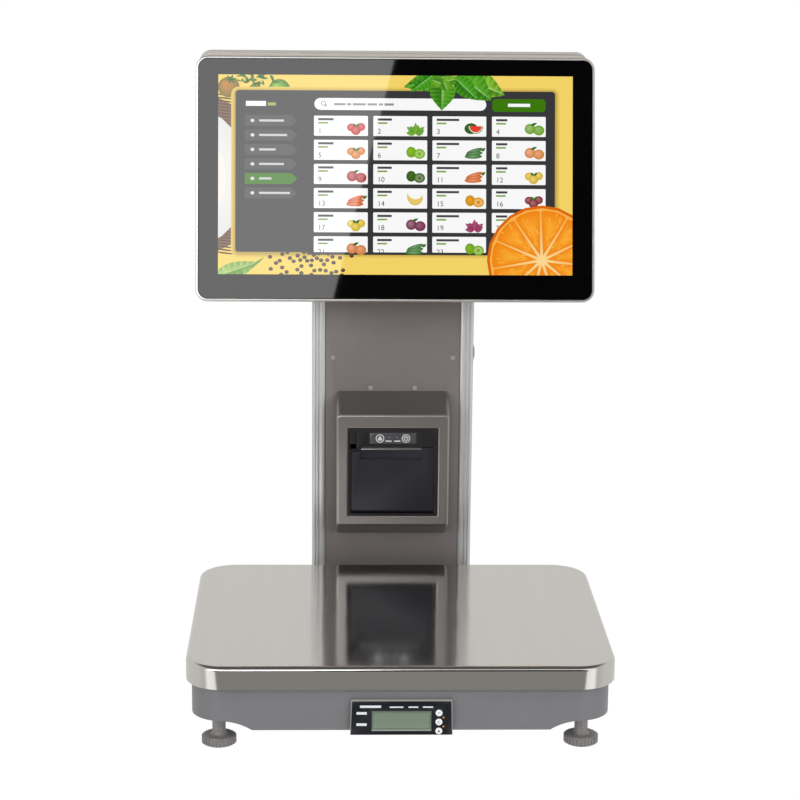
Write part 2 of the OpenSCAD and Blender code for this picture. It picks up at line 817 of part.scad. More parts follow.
module power_button_bezel() color([0.55, 0.55, 0.56]) {
    difference() {
        union() {
            bar_x(col_w / 2 - profile_w + 1, col_w / 2 + 1, power_y, power_z, power_r + 1.1);
            bar_x(col_w / 2, col_w / 2 + power_out - 0.6, power_y, power_z, power_r + 2.1);
        }
        bar_x(0, col_w, power_y, power_z, power_r + fit);
    }
}

module power_button() color([0.35, 0.35, 0.36]) {
    bar_x(col_w / 2 - profile_w + 3, col_w / 2 + power_out, power_y, power_z, power_r);
}

// ---------- printer ----------

module hood_side(inset) {
    back_h = hood_back_h / 2 - inset;
    front_h = hood_front_h / 2 - inset;
    prism_x(-hood_w / 2 + inset, hood_w / 2 - inset,
        [[panel_y + (inset > 0 ? 1 : 0), hood_z - back_h],
         [panel_y + (inset > 0 ? 1 : 0), hood_z + back_h],
         [col_y - hood_proud + inset, hood_z + front_h],
         [col_y - hood_proud + inset, hood_z - front_h]]);
}

module printer_hood() color([0.5, 0.49, 0.475]) {
    difference() {
        hood_side(0);
        hood_side(hood_wall);
        span([-prn_w / 2 - stack_clear, col_y - hood_proud - 1, prn_low - stack_clear],
             [prn_w / 2 + stack_clear, col_y - hood_proud + hood_wall + 1,
              prn_high + stack_clear]);
    }
}

module printer_bezel() color([0.15, 0.15, 0.17]) {
    lever_z0 = lever_top - lever_h - lever_travel - slack;
    difference() {
        union() {
            span([-prn_w / 2, prn_front, prn_low], [prn_w / 2, prn_front + bezel_t, prn_high]);
            for (x = [-1, 1])
                span([x > 0 ? chassis_half - chassis_t : -chassis_half,
                      prn_front + bezel_t - 1, prn_low + sill_h],
                     [x > 0 ? chassis_half : -chassis_half + chassis_t,
                      chassis_back, prn_high - 6]);
        }
        // doorway, with the low corner under the release lever
        span([-door_w / 2 - slack, prn_front - 1, prn_low + sill_h],
             [door_w / 2 + slack, prn_front + bezel_t + 12, brow_z - notch_h]);
        span([-door_w / 2 + notch_w, prn_front - 1, brow_z - notch_h - 1],
             [door_w / 2 + slack, prn_front + bezel_t + 12, brow_z]);
        // slot of the release lever
        span([lever_x - lever_w / 2 - slack, prn_front - 1, lever_z0],
             [lever_x + lever_w / 2 + slack, prn_front + bezel_t + 2, lever_top + slack]);
        // seat of the control strip and holes of its two buttons
        span([-strip_w / 2, prn_front - 1, strip_z - strip_h / 2],
             [strip_w / 2, prn_front + strip_t / 2, strip_z + strip_h / 2]);
        for (x = [-1, 1])
            bar_y(prn_front - 1, prn_front + bezel_t + 1, x * button_x, strip_z, button_r + 0.1);
        bar_x(-prn_w, prn_w, door_pivot_y, door_pivot_z, door_pin_r + fit);
        bar_x(-prn_w, prn_w, head_pin_y, head_top - 2, head_pin_r + fit);
        bar_x(0, prn_w, pinion_y, platen_z, motor_shaft_r + 0.5);
    }
}

module door_side() {
    translate([door_pivot_y, door_pivot_z]) circle(door_r);
    translate([door_pivot_y - door_r, door_pivot_z]) square([door_t, door_h]);
}

module printer_door() color([0.16, 0.16, 0.18]) {
    difference() {
        union() {
            translate([-door_w / 2, 0, 0]) rotate([90, 0, 90]) linear_extrude(door_w)
                door_side();
            for (x = [-1, 1])
                span([x > 0 ? platen_half + slack : -platen_half - slack - ear_t,
                      door_back - 1, platen_z - 7],
                     [x > 0 ? platen_half + slack + ear_t : -platen_half - slack,
                      platen_y + 3.5, platen_z + 3.5]);
        }
        span([chute_x - chute_w / 2, door_front - 1, door_top - chute_h],
             [chute_x + chute_w / 2, door_front + chute_d, door_top + 1]);
        span([-door_w / 2 - 1, door_front - 1, door_top - notch_h],
             [-door_w / 2 + notch_w, door_back + 1, door_top + 1]);
        bar_x(-door_w, door_w, door_pivot_y, door_pivot_z, door_pin_r + fit);
        bar_x(-door_w, door_w, platen_y, platen_z, platen_shaft_r + fit);
    }
}

module door_hinge_pin() color([0.7, 0.7, 0.72]) {
    bar_x(-prn_w / 2 + 0.4, prn_w / 2 - 0.4, door_pivot_y, door_pivot_z, door_pin_r);
}

module tear_bar() color([0.72, 0.72, 0.72]) {
    teeth = 30;
    pitch = (chute_w - 2) / teeth;
    difference() {
        span([chute_x - chute_w / 2 + 1, door_front + chute_d - bar_t, door_top - bar_h - 0.4],
             [chute_x + chute_w / 2 - 1, door_front + chute_d, door_top - 0.2]);
        for (i = [0 : teeth - 1])
            translate([chute_x - chute_w / 2 + 1 + (i + 0.5) * pitch,
                       door_front + chute_d - bar_t / 2, door_top - 0.2])
                rotate([0, 45, 0]) cube([0.7, bar_t + 2, 0.7], center = true);
    }
}

module platen_roller() color([0.14, 0.14, 0.14]) {
    bar_x(-platen_half - ear_t - 1, gear_x, platen_y, platen_z, platen_shaft_r);
    bar_x(-platen_half, platen_half, platen_y, platen_z, platen_r);
}

module platen_gear() color([0.85, 0.84, 0.8]) {
    translate([gear_x, platen_y, platen_z]) rotate([90, 0, 90]) linear_extrude(gear_w)
        gear_outline(platen_teeth, platen_gear_r);
}

module motor_pinion() color([0.8, 0.7, 0.4]) {
    bar_x(gear_x, chassis_half, pinion_y, platen_z, motor_shaft_r);
    translate([gear_x, pinion_y, platen_z]) rotate([90, 0, 90]) linear_extrude(gear_w)
        gear_outline(pinion_teeth, pinion_r);
}

module stepper_motor() color([0.5, 0.5, 0.52]) {
    difference() {
        bar_x(chassis_half, chassis_half + motor_len, pinion_y, platen_z, motor_r);
        bar_x(chassis_half - 1, chassis_half + 2, pinion_y, platen_z, motor_shaft_r + 0.5);
    }
}

module print_head() color([0.6, 0.6, 0.62]) {
    span([-head_half, head_y, head_top - head_h], [head_half, head_y + head_t, head_top]);
    bar_x(-chassis_half + 1, chassis_half - 1, head_pin_y, head_top - 2, head_pin_r);
}

module release_lever() color([0.17, 0.17, 0.19]) {
    span([lever_x - lever_w / 2, prn_front - 0.2, lever_top - lever_h],
         [lever_x + lever_w / 2, prn_front - 0.2 + lever_t, lever_top]);
}

module control_strip() color([0.27, 0.27, 0.28]) {
    difference() {
        span([-strip_w / 2 + 0.1, prn_front - strip_t / 2, strip_z - strip_h / 2 + 0.1],
             [strip_w / 2 - 0.1, prn_front + strip_t / 2, strip_z + strip_h / 2 - 0.1]);
        for (x = [-1, 1])
            bar_y(prn_front - 1, prn_front + 1, x * button_x, strip_z, button_r + 0.1);
    }
}

module strip_button(x) color([0.27, 0.27, 0.28]) {
    bar_y(prn_front - strip_t / 2 - 0.3, prn_front + bezel_t + 1, x, strip_z, button_r);
}

module feed_button() strip_button(-button_x);
module printer_power_button() strip_button(button_x);

module roll_well() color([0.13, 0.13, 0.14]) {
    outer = well_r + well_wall;
    difference() {
        union() {
            bar_x(-well_half - well_wall, well_half + well_wall, roll_y, roll_z, outer);
            for (x = [-1, 1])
                span([x > 0 ? well_half : -chassis_half + chassis_t, roll_y, roll_z - 12],
                     [x > 0 ? chassis_half - chassis_t : -well_half, roll_y + 14, roll_z - 4]);
        }
        bar_x(-well_half, well_half, roll_y, roll_z, well_r);
        span([-prn_w, roll_y - outer - 1, well_cut], [prn_w, roll_y + outer + 1, roll_z + outer + 1]);
        span([-prn_w, roll_y - outer - 1, roll_z - 8], [prn_w, roll_y - 8, roll_z + outer + 1]);
    }
}

module label_roll() color([0.93, 0.92, 0.88]) {
    difference() {
        bar_x(-roll_w / 2, roll_w / 2, roll_y, roll_z, roll_r);
        bar_x(-roll_w, roll_w, roll_y, roll_z, core_r);
    }
}

// ---------- screens ----------

// Places a screen's pieces: its tilt axis is their X axis, -Y is the way it faces and +Z
// runs up the glass.
module lean_back(side) {
    translate([0, head_mid, 0]) mirror([0, side > 0 ? 1 : 0, 0])
        translate([0, -pin_half, pin_z]) rotate([-lean, 0, 0]) children();
}

// Slab parallel to the glass, from y0 to y1 behind the tilt axis's plane.
module glass_slab(w, h, r, y0, y1, up = 0) {
    translate([0, y1, -pin_drop + up]) rotate([90, 0, 0]) linear_extrude(y1 - y0)
        round_rect(w, h, r);
}

scr_back = -pin_back;
scr_front = scr_back - scr_t;

module screen_rim() color([0.75, 0.75, 0.75]) {
    difference() {
        union() {
            glass_slab(scr_w, scr_h, scr_corner_r, scr_front, scr_front + rim_d);
            for (x = [-1, 1])
                bar_y(scr_front + 1, scr_front + rim_d - 1, x * 3, -pin_drop - scr_h / 2, 1.2);
        }
        glass_slab(scr_w - 2 * rim_w, scr_h - 2 * rim_w, scr_corner_r - rim_w,
                   scr_front - 1, scr_front + rim_d + 1);
    }
}

module screen_glass() color([0.03, 0.03, 0.035]) {
    glass_slab(scr_w - 2 * rim_w - stack_clear, scr_h - 2 * rim_w - stack_clear,
               scr_corner_r - rim_w, scr_front + 0.3, scr_front + 0.3 + glass_t);
}

module screen_lcd() color([0.9, 0.8, 0.4]) {
    glass_slab(active_w + 6, active_h + 6, 2, scr_front + 0.4 + glass_t,
               scr_front + 0.4 + glass_t + panel_d, active_up);
}

module screen_rear_shell() color([0.74, 0.73, 0.7]) {
    difference() {
        glass_slab(scr_w - 2, scr_h - 2, scr_corner_r - 1, scr_front + rim_d, scr_back);
        glass_slab(scr_w - 2 - 2 * shell_wall, scr_h - 2 - 2 * shell_wall,
                   scr_corner_r - 1 - shell_wall, scr_front + rim_d - 1,
                   scr_back - shell_wall);
    }
}

module screen_hinge_leaf() color([0.25, 0.25, 0.26]) {
    difference() {
        union() {
            span([-leaf_w / 2, scr_back, leaf_low], [leaf_w / 2, scr_back + leaf_t, leaf_high]);
            for (x = [-1, 1]) {
                x0 = x > 0 ? ear_x : -lug_x + slack;
                x1 = x > 0 ? lug_x - slack : -ear_x;
                bar_x(x0, x1, 0, 0, pin_r + 1.5);
                span([x0, scr_back + 1, -pin_r - 1.5], [x1, 0, pin_r + 1.5]);
            }
        }
        bar_x(-tower_w, tower_w, 0, 0, pin_r + fit);
    }
}

module operator_rim() lean_back(-1) screen_rim();
module operator_glass() lean_back(-1) screen_glass();
module operator_lcd() lean_back(-1) screen_lcd();
module operator_rear_shell() lean_back(-1) screen_rear_shell();
module operator_hinge_leaf() lean_back(-1) screen_hinge_leaf();
module customer_rim() lean_back(1) screen_rim();
module customer_glass() lean_back(1) screen_glass();
module customer_lcd() lean_back(1) screen_lcd();
module customer_rear_shell() lean_back(1) screen_rear_shell();
module customer_hinge_leaf() lean_back(1) screen_hinge_leaf();

base_casing();
base_floor_plate();
load_cell();
load_cell_block();
pan_spider();
spider_pads();
weighing_pan();
bubble_level();
foot_front_left();
foot_front_right();
foot_rear_left();
foot_rear_right();
indicator_housing();
indicator_face();
indicator_lcd();
indicator_board();
zero_key();
tare_key();
unit_key();
indicator_leds();
column_plinth();
column_left_profile();
column_right_profile();
column_front_panel();
column_rear_cover();
column_top_cap();
head_bracket();
panel_screws();
main_board();
power_supply();
mains_inlet();
power_button_bezel();
power_button();
printer_hood();
printer_bezel();
printer_door();
door_hinge_pin();
tear_bar();
platen_roller();
platen_gear();
motor_pinion();
stepper_motor();
print_head();
release_lever();
control_strip();
feed_button();
printer_power_button();
roll_well();
label_roll();
hinge_pins();
operator_rim();
operator_glass();
operator_lcd();
operator_rear_shell();
operator_hinge_leaf();
customer_rim();
customer_glass();
customer_lcd();
customer_rear_shell();
customer_hinge_leaf();
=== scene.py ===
"""Looks of a label printing scale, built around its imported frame, in metres."""

import logging
import math
import random
from collections.abc import Callable, Sequence
from dataclasses import dataclass, field
from enum import Enum

import bmesh
import bpy
from mathutils import Matrix, Vector


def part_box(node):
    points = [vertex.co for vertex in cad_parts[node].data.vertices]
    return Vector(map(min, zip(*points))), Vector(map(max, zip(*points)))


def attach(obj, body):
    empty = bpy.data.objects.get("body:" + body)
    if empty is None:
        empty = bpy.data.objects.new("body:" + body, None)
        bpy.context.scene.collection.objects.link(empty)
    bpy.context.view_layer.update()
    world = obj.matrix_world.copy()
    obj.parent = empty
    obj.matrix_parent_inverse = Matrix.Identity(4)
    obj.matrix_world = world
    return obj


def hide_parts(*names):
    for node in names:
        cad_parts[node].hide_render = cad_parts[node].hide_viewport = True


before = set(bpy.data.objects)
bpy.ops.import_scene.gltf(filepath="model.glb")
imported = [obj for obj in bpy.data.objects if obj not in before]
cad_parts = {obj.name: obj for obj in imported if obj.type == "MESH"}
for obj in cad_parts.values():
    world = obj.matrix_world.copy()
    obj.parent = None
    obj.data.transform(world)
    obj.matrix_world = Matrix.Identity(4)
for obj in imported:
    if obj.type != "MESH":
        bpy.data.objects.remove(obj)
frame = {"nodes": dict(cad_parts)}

LOG = logging.getLogger("label_scale")
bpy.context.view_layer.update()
MM = 0.001
LEAST_RADIUS = 1e-5
MERGE = 2e-6                     # vertices of a CAD mesh nearer than this are one
FLAT_ANGLE = math.radians(0.6)   # faces that meet flatter than this are one
EDGE_ANGLE = math.radians(50)    # edges sharper than this are rounded
EDGE_STEPS = 3                   # segments across a rounded edge
Point = tuple[float, float, float]
Flat = tuple[float, float]
Colour = tuple[float, float, float]


def srgb(red: int, green: int, blue: int) -> Colour:
    """Linear colour of a display colour given in steps of 255."""
    def linear(step: int) -> float:
        """One channel, linear."""
        share = step / 255
        return share / 12.92 if share <= 0.04045 else ((share + 0.055) / 1.055) ** 2.4
    return linear(red), linear(green), linear(blue)


# ---------- node trees ----------


class NodeTree:
    """Any node tree, with one way to add to it."""

    def __init__(self, tree: bpy.types.NodeTree) -> None:
        """Wraps a tree."""
        self.tree = tree

    def add(self, kind: str, settings: dict[str, object],
            inputs: dict[str | int, object]) -> bpy.types.Node:
        """Adds any node.

        Args:
            kind: The node's type.
            settings: Its own properties, set first. "stops" fills a colour ramp.
            inputs: Values or links for its sockets, by name or number.

        Returns:
            The node.
        """
        node = self.tree.nodes.new(kind)
        for key, value in settings.items():
            if key == "stops":
                self._fill_ramp(node, value)
            else:
                setattr(node, key, value)
        for key, value in inputs.items():
            self.feed(node.inputs[key], value)
        return node

    def _fill_ramp(self, node: bpy.types.Node, stops: Sequence[tuple[float, Colour]]) -> None:
        """Gives a colour ramp its stops."""
        ramp = node.color_ramp.elements
        while len(ramp) < len(stops):
            ramp.new(0.5)
        for element, (place, colour) in zip(ramp, stops):
            element.position = place
            element.color = (*colour, 1)

    def feed(self, socket: bpy.types.NodeSocket, value: object) -> None:
        """Sets a socket to a value, or links it."""
        if isinstance(value, Value):
            value = value.link
        if isinstance(value, bpy.types.NodeSocket):
            self.tree.links.new(value, socket)
        elif isinstance(value, tuple) and len(value) == 3 and socket.type == "RGBA":
            socket.default_value = (*value, 1)
        else:
            socket.default_value = value

    def blend(self, share: object, first: object, second: object) -> bpy.types.NodeSocket:
        """Mix of two colours."""
        node = self.add("ShaderNodeMix", {"data_type": "RGBA"}, {0: share, 6: first, 7: second})
        return node.outputs[2]


class Value:
    """A number in a shader tree. Arithmetic on it adds Math nodes."""

    def __init__(self, tree: "ShaderTree", link: bpy.types.NodeSocket) -> None:
        """Wraps one output socket of the tree."""
        self.tree = tree
        self.link = link

    def _math(self, operation: str, first: object, second: object = 0.0) -> "Value":
        """Adds a Math node.

        Args:
            operation: The node's operation.
            first: A Value or a number.
            second: A Value or a number.

        Returns:
            The node's result.
        """
        node = self.tree.add("ShaderNodeMath", {"operation": operation}, {0: first, 1: second})
        return Value(self.tree, node.outputs[0])

    def __add__(self, other: object) -> "Value":
        """Sum."""
        return self._math("ADD", self, other)

    def __mul__(self, other: object) -> "Value":
        """Product."""
        return self._math("MULTIPLY", self, other)

    def __sub__(self, other: object) -> "Value":
        """Difference."""
        return self._math("SUBTRACT", self, other)

    def __rsub__(self, other: object) -> "Value":
        """Difference from a number."""
        return self._math("SUBTRACT", other, self)

    def __gt__(self, other: object) -> "Value":
        """One where this is greater, else nought."""
        return self._math("GREATER_THAN", self, other)

    def __mod__(self, other: object) -> "Value":
        """Remainder, never negative."""
        return self._math("FLOORED_MODULO", self, other)

    __radd__ = __add__
    __rmul__ = __mul__


class ShaderTree(NodeTree):
    """A material's node tree with one Principled shader."""

    def __init__(self, name: str) -> None:
        """Makes the material and its shader."""
        self.material = bpy.data.materials.new(name)
        self.material.use_nodes = True
        super().__init__(self.material.node_tree)
        self.tree.nodes.clear()
        self.surface = self.add("ShaderNodeBsdfPrincipled", {}, {})
        self.add("ShaderNodeOutputMaterial", {}, {"Surface": self.surface.outputs[0]})

    def place(self, stretch: Point = (1, 1, 1)) -> bpy.types.NodeSocket:
        """Object coordinates, stretched along each axis."""
        found = self.add("ShaderNodeTexCoord", {}, {}).outputs["Object"]
        scaled = self.add("ShaderNodeVectorMath", {"operation": "MULTIPLY"}, {0: found, 1: stretch})
        return scaled.outputs[0]

    def noise(self, size: float, detail: float = 2.0, stretch: Point = (1, 1, 1)) -> Value:
        """Noise with features of about size metres, from 0 to 1."""
        node = self.add("ShaderNodeTexNoise", {}, {
            "Vector": self.place(stretch), "Scale": 1 / size, "Detail": detail})
        return Value(self, node.outputs[0])

    def bump(self, height: object, depth: float, below: object = None) -> bpy.types.NodeSocket:
        """Normal disturbed by a height that is depth metres at its full."""
        inputs = {"Height": height, "Distance": depth, "Strength": 1.0}
        if below is not None:
            inputs["Normal"] = below
        return self.add("ShaderNodeBump", {}, inputs).outputs[0]


class Streak(Enum):
    """Way that a brushed or drawn finish runs."""

    NONE = (1.0, 1.0, 1.0)
    ALONG_X = (0.02, 1.0, 1.0)
    ALONG_Y = (1.0, 0.02, 1.0)


@dataclass(frozen=True)
class Finish:
    """A surface finish: colour, gloss, grain and the way it varies."""

    name: str
    colour: Colour
    roughness: float = 0.5
    metallic: float = 0.0
    coat: float = 0.0
    coat_roughness: float = 0.1
    specular: float = 0.5
    mottle: float = 0.12
    mottle_size: float = 0.03
    grain_size: float = 0.0006
    grain_depth: float = 0.0
    rough_spread: float = 0.1
    streak: Streak = Streak.NONE
    wave_depth: float = 0.0
    wave_size: float = 0.06

    def tint(self, tree: ShaderTree) -> object:
        """Colour over the surface, a little darker and lighter in soft patches."""
        patches = tree.noise(self.mottle_size, 3, self.streak.value)
        dark = tuple(c * (1 - self.mottle) for c in self.colour)
        light = tuple(min(1.0, c * (1 + self.mottle)) for c in self.colour)
        return tree.blend(patches, dark, light)

    def dress(self, tree: ShaderTree) -> None:
        """Feeds the shader."""
        surface = tree.surface.inputs
        grain = tree.noise(self.grain_size, 2, self.streak.value)
        tree.feed(surface["Base Color"], self.tint(tree))
        least = self.roughness - self.rough_spread / 2
        tree.feed(surface["Roughness"], grain * self.rough_spread + least)
        surface["Metallic"].default_value = self.metallic
        surface["Coat Weight"].default_value = self.coat
        surface["Coat Roughness"].default_value = self.coat_roughness
        surface["Specular IOR Level"].default_value = self.specular
        normal = None
        if self.wave_depth:
            normal = tree.bump(tree.noise(self.wave_size, 1), self.wave_depth)
        if self.grain_depth:
            normal = tree.bump(grain, self.grain_depth, normal)
        if normal is not None:
            tree.feed(surface["Normal"], normal)

    def material(self) -> bpy.types.Material:
        """The finish's material, made once."""
        title = f"{self.name}_look"
        found = bpy.data.materials.get(title)
        if found is None:
            tree = ShaderTree(title)
            self.dress(tree)
            found = tree.material
        return found


@dataclass(frozen=True)
class LitPicture(Finish):
    """A lit screen behind glass: its colours come from the mesh's own paint."""

    glow: float = 1.0
    paint: str = "paint"

    def dress(self, tree: ShaderTree) -> None:
        """Feeds the paint to the glow under a clear, glossy front."""
        surface = tree.surface.inputs
        paint = tree.add("ShaderNodeAttribute", {"attribute_name": self.paint}, {}).outputs["Color"]
        tree.feed(surface["Emission Color"], paint)
        surface["Emission Strength"].default_value = self.glow
        tree.feed(surface["Base Color"], self.colour)
        surface["Roughness"].default_value = self.roughness
        surface["Coat Weight"].default_value = self.coat
        surface["Coat Roughness"].default_value = self.coat_roughness
        surface["Specular IOR Level"].default_value = 0.0


@dataclass(frozen=True)
class Printed(Finish):
    """Ink or paint whose colours come from the mesh's own paint."""

    paint: str = "paint"

    def tint(self, tree: ShaderTree) -> object:
        """Colour from the mesh."""
        return tree.add("ShaderNodeAttribute", {"attribute_name": self.paint}, {}).outputs["Color"]


@dataclass(frozen=True)
class Knurled(Finish):
    """Plastic with fine ring marks around Z from its mould."""

    pitch: float = 0.0008
    mark_depth: float = 0.00003

    def dress(self, tree: ShaderTree) -> None:
        """Adds the ring marks to the plain finish."""
        Finish.dress(self, tree)
        rings = tree.add("ShaderNodeTexWave", {"wave_type": "BANDS", "bands_direction": "Z"}, {
            "Vector": tree.place(), "Scale": 1 / self.pitch / 20, "Distortion": 0.6}).outputs[1]
        tree.feed(tree.surface.inputs["Normal"], tree.bump(rings, self.mark_depth))


@dataclass(frozen=True)
class Extruded(Finish):
    """Anodised extrusion with drawing lines along Z."""

    line: float = 0.0005
    line_depth: float = 0.000003

    def dress(self, tree: ShaderTree) -> None:
        """Adds long fine lines to the plain finish."""
        Finish.dress(self, tree)
        lines = tree.noise(self.line, 1, (1, 1, 0.004))
        tree.feed(tree.surface.inputs["Normal"], tree.bump(lines, self.line_depth))


@dataclass(frozen=True)
class Circuit(Finish):
    """Green board with lighter tracks."""

    cells: float = 220.0
    track: float = 2.2

    def tint(self, tree: ShaderTree) -> object:
        """Board colour with tracks."""
        cells = tree.add("ShaderNodeTexVoronoi", {"distance": "MANHATTAN", "feature": "F1"}, {
            "Vector": tree.place(), "Scale": self.cells})
        tracks = (Value(tree, cells.outputs[0]) * 3.0) % 1.0 > 0.8
        return tree.blend(tracks, self.colour, tuple(min(1.0, c * self.track) for c in self.colour))


@dataclass(frozen=True)
class WoundPaper(Finish):
    """Edge of a wound roll: thin rings of paper and liner around X."""

    centre: Flat = (0.0, 0.0)
    turns: float = 260.0
    shade: float = 0.7

    def tint(self, tree: ShaderTree) -> object:
        """Paper colour with ring shading."""
        spot = tree.add("ShaderNodeTexCoord", {}, {}).outputs["Object"]
        moved = tree.add("ShaderNodeMapping", {}, {
            "Vector": spot, "Location": (0, -self.centre[0], -self.centre[1])}).outputs[0]
        rings = tree.add("ShaderNodeTexWave", {"wave_type": "RINGS", "rings_direction": "X"}, {
            "Vector": moved, "Scale": self.turns, "Distortion": 0.3}).outputs[1]
        return tree.blend(rings, self.colour, tuple(c * self.shade for c in self.colour))


class Finishes:
    """The finishes of the scale's pieces."""

    casing = Finish("casing_paint", srgb(111, 110, 114), 0.42, grain_size=0.0009, grain_depth=0.00002,
                    mottle=0.05, mottle_size=0.05, coat=0.12, coat_roughness=0.3)
    column = Finish("column_paint", srgb(112, 106, 106), 0.5, grain_size=0.0007, grain_depth=0.00003,
                    mottle=0.06, mottle_size=0.02, coat=0.05, coat_roughness=0.4)
    hood = Finish("hood_paint", srgb(146, 143, 141), 0.3, 0.85, grain_size=0.0008,
                  grain_depth=0.000012, mottle=0.05, mottle_size=0.03, coat=0.1, coat_roughness=0.3)
    plinth = Finish("plinth_paint", srgb(112, 111, 114), 0.5, grain_size=0.0009, grain_depth=0.00003,
                    mottle=0.06)
    pan = Finish("pan_steel", (0.66, 0.645, 0.625), 0.1, 1.0, grain_size=0.0012, grain_depth=0.0000012,
                 mottle=0.03, mottle_size=0.012, rough_spread=0.05, streak=Streak.ALONG_Y,
                 wave_depth=0.0003, wave_size=0.07)
    sheet = Finish("zinc_sheet", (0.42, 0.43, 0.45), 0.38, 1.0, mottle=0.25, mottle_size=0.012,
                   rough_spread=0.2)
    cell = Finish("machined_alloy", (0.7, 0.71, 0.73), 0.3, 1.0, streak=Streak.ALONG_X,
                  grain_size=0.0006, grain_depth=0.00001)
    cast = Finish("cast_alloy", (0.52, 0.53, 0.55), 0.5, 1.0, grain_size=0.0012, grain_depth=0.00008)
    rubber = Finish("black_rubber", (0.022, 0.022, 0.023), 0.75, grain_size=0.0005, grain_depth=0.00003)
    foot = Knurled("foot_plastic", srgb(128, 125, 125), 0.4, mottle=0.1, mottle_size=0.006, coat=0.15,
                   coat_roughness=0.3)
    vial = Finish("level_vial", (0.45, 0.75, 0.12), 0.08, coat=1.0, coat_roughness=0.02, mottle=0.05)
    frame = Finish("indicator_frame", srgb(176, 178, 170), 0.4, grain_size=0.0005, grain_depth=0.00001,
                   mottle=0.04)
    overlay = Finish("indicator_overlay", srgb(14, 18, 26), 0.3, coat=0.05, coat_roughness=0.15,
                     mottle=0.06, specular=0.4)
    crystal = Finish("liquid_crystal", srgb(108, 128, 108), 0.35, coat=0.6, coat_roughness=0.05,
                     mottle=0.03, mottle_size=0.02, grain_size=0.0003)
    board = Circuit("circuit_board", (0.015, 0.11, 0.05), 0.35, coat=0.3)
    key = Finish("white_key", srgb(236, 236, 238), 0.4, mottle=0.02, mottle_size=0.004)
    amber = Finish("amber_lamp", srgb(214, 150, 66), 0.25, coat=0.6, mottle=0.05, mottle_size=0.001)
    profile = Extruded("side_profile_alloy", srgb(204, 204, 204), 0.4, 0.5, mottle=0.015,
                       rough_spread=0.06)
    bracket = Finish("bracket_paint", srgb(58, 58, 60), 0.45, grain_size=0.0008, grain_depth=0.00004)
    screw = Finish("screw_steel", (0.5, 0.5, 0.5), 0.3, 1.0, mottle=0.1, mottle_size=0.002)
    painted_screw = Finish("painted_screw", srgb(146, 140, 140), 0.36, mottle=0.05, mottle_size=0.002)
    inlet = Finish("inlet_plastic", (0.02, 0.02, 0.021), 0.4, grain_size=0.0005, grain_depth=0.00001)
    brass = Finish("pinion_brass", (0.7, 0.5, 0.2), 0.3, 1.0, mottle=0.08, mottle_size=0.002)
    button = Finish("turned_steel", (0.34, 0.33, 0.33), 0.28, 1.0, mottle=0.1, mottle_size=0.002)
    moulded = Finish("printer_plastic", srgb(26, 26, 29), 0.42, specular=0.3, grain_size=0.0004,
                     grain_depth=0.00002, mottle=0.06, mottle_size=0.01)
    door = Finish("door_plastic", srgb(34, 34, 40), 0.36, specular=0.3, grain_size=0.0004,
                  grain_depth=0.000012, mottle=0.05, mottle_size=0.02)
    strip = Finish("strip_overlay", srgb(62, 62, 66), 0.4, mottle=0.04, mottle_size=0.004)
    gear = Finish("natural_acetal", (0.72, 0.7, 0.64), 0.4, mottle=0.04, mottle_size=0.004)
    head = Finish("head_carrier", (0.5, 0.5, 0.52), 0.35, 1.0, mottle=0.1, mottle_size=0.004)
    bar = Finish("tear_bar_steel", (0.3, 0.3, 0.3), 0.35, 1.0, streak=Streak.ALONG_X)
    rim = Finish("screen_rim_alloy", (0.72, 0.71, 0.69), 0.32, 1.0, streak=Streak.ALONG_X,
                 grain_size=0.0006, mottle=0.03)
    glass = Finish("cover_glass", (0.0015, 0.0015, 0.0018), 0.06, coat=1.0, coat_roughness=0.02,
                   specular=0.0, mottle=0.3, mottle_size=0.1, rough_spread=0.02)
    picture = LitPicture("lit_picture", (0.0, 0.0, 0.0), 0.5, coat=1.0, coat_roughness=0.02)
    shell = Finish("shell_paint", srgb(206, 198, 190), 0.38, 0.35, grain_size=0.0006,
                   grain_depth=0.000008, mottle=0.03, mottle_size=0.03)
    ink = Printed("printed_marks", (1, 1, 1), 0.5)
    paper = WoundPaper("label_paper", srgb(238, 236, 228), 0.7, centre=(0.146, 0.149))


# ---------- meshes ----------


def rounded_ring(width: float, height: float, radius: float, steps: int = 8) -> list[Flat]:
    """Points of a centred rectangle with round corners, anticlockwise.

    Args:
        width: Size along the first axis.
        height: Size along the second axis.
        radius: Corner radius.
        steps: Segments in each corner.

    Returns:
        The points.
    """
    radius = max(radius, LEAST_RADIUS)
    points: list[Flat] = []
    for corner, (sx, sy) in enumerate([(1, 1), (-1, 1), (-1, -1), (1, -1)]):
        cx, cy = sx * (width / 2 - radius), sy * (height / 2 - radius)
        for step in range(steps + 1):
            turn = math.pi / 2 * (corner + step / steps)
            points.append((cx + radius * math.cos(turn), cy + radius * math.sin(turn)))
    return points


def mesh_object(name: str, points: Sequence[Sequence[float]],
                faces: Sequence[Sequence[int]]) -> bpy.types.Object:
    """Makes an object from points and faces."""
    mesh = bpy.data.meshes.new(name)
    mesh.from_pydata([tuple(p) for p in points], [], [tuple(f) for f in faces])
    mesh.validate()
    piece = bpy.data.objects.new(name, mesh)
    bpy.context.scene.collection.objects.link(piece)
    return piece


def outward(piece: bpy.types.Object) -> None:
    """Merges doubles and points every face outwards."""
    shape = bmesh.new()
    shape.from_mesh(piece.data)
    bmesh.ops.remove_doubles(shape, verts=shape.verts, dist=MERGE / 2)
    bmesh.ops.recalc_face_normals(shape, faces=shape.faces)
    shape.to_mesh(piece.data)
    shape.free()


def smooth(piece: bpy.types.Object, angle: float = 35.0) -> None:
    """Shades smooth, with sharp edges past angle degrees."""
    piece.data.shade_smooth()
    piece.data.set_sharp_from_angle(angle=math.radians(angle))


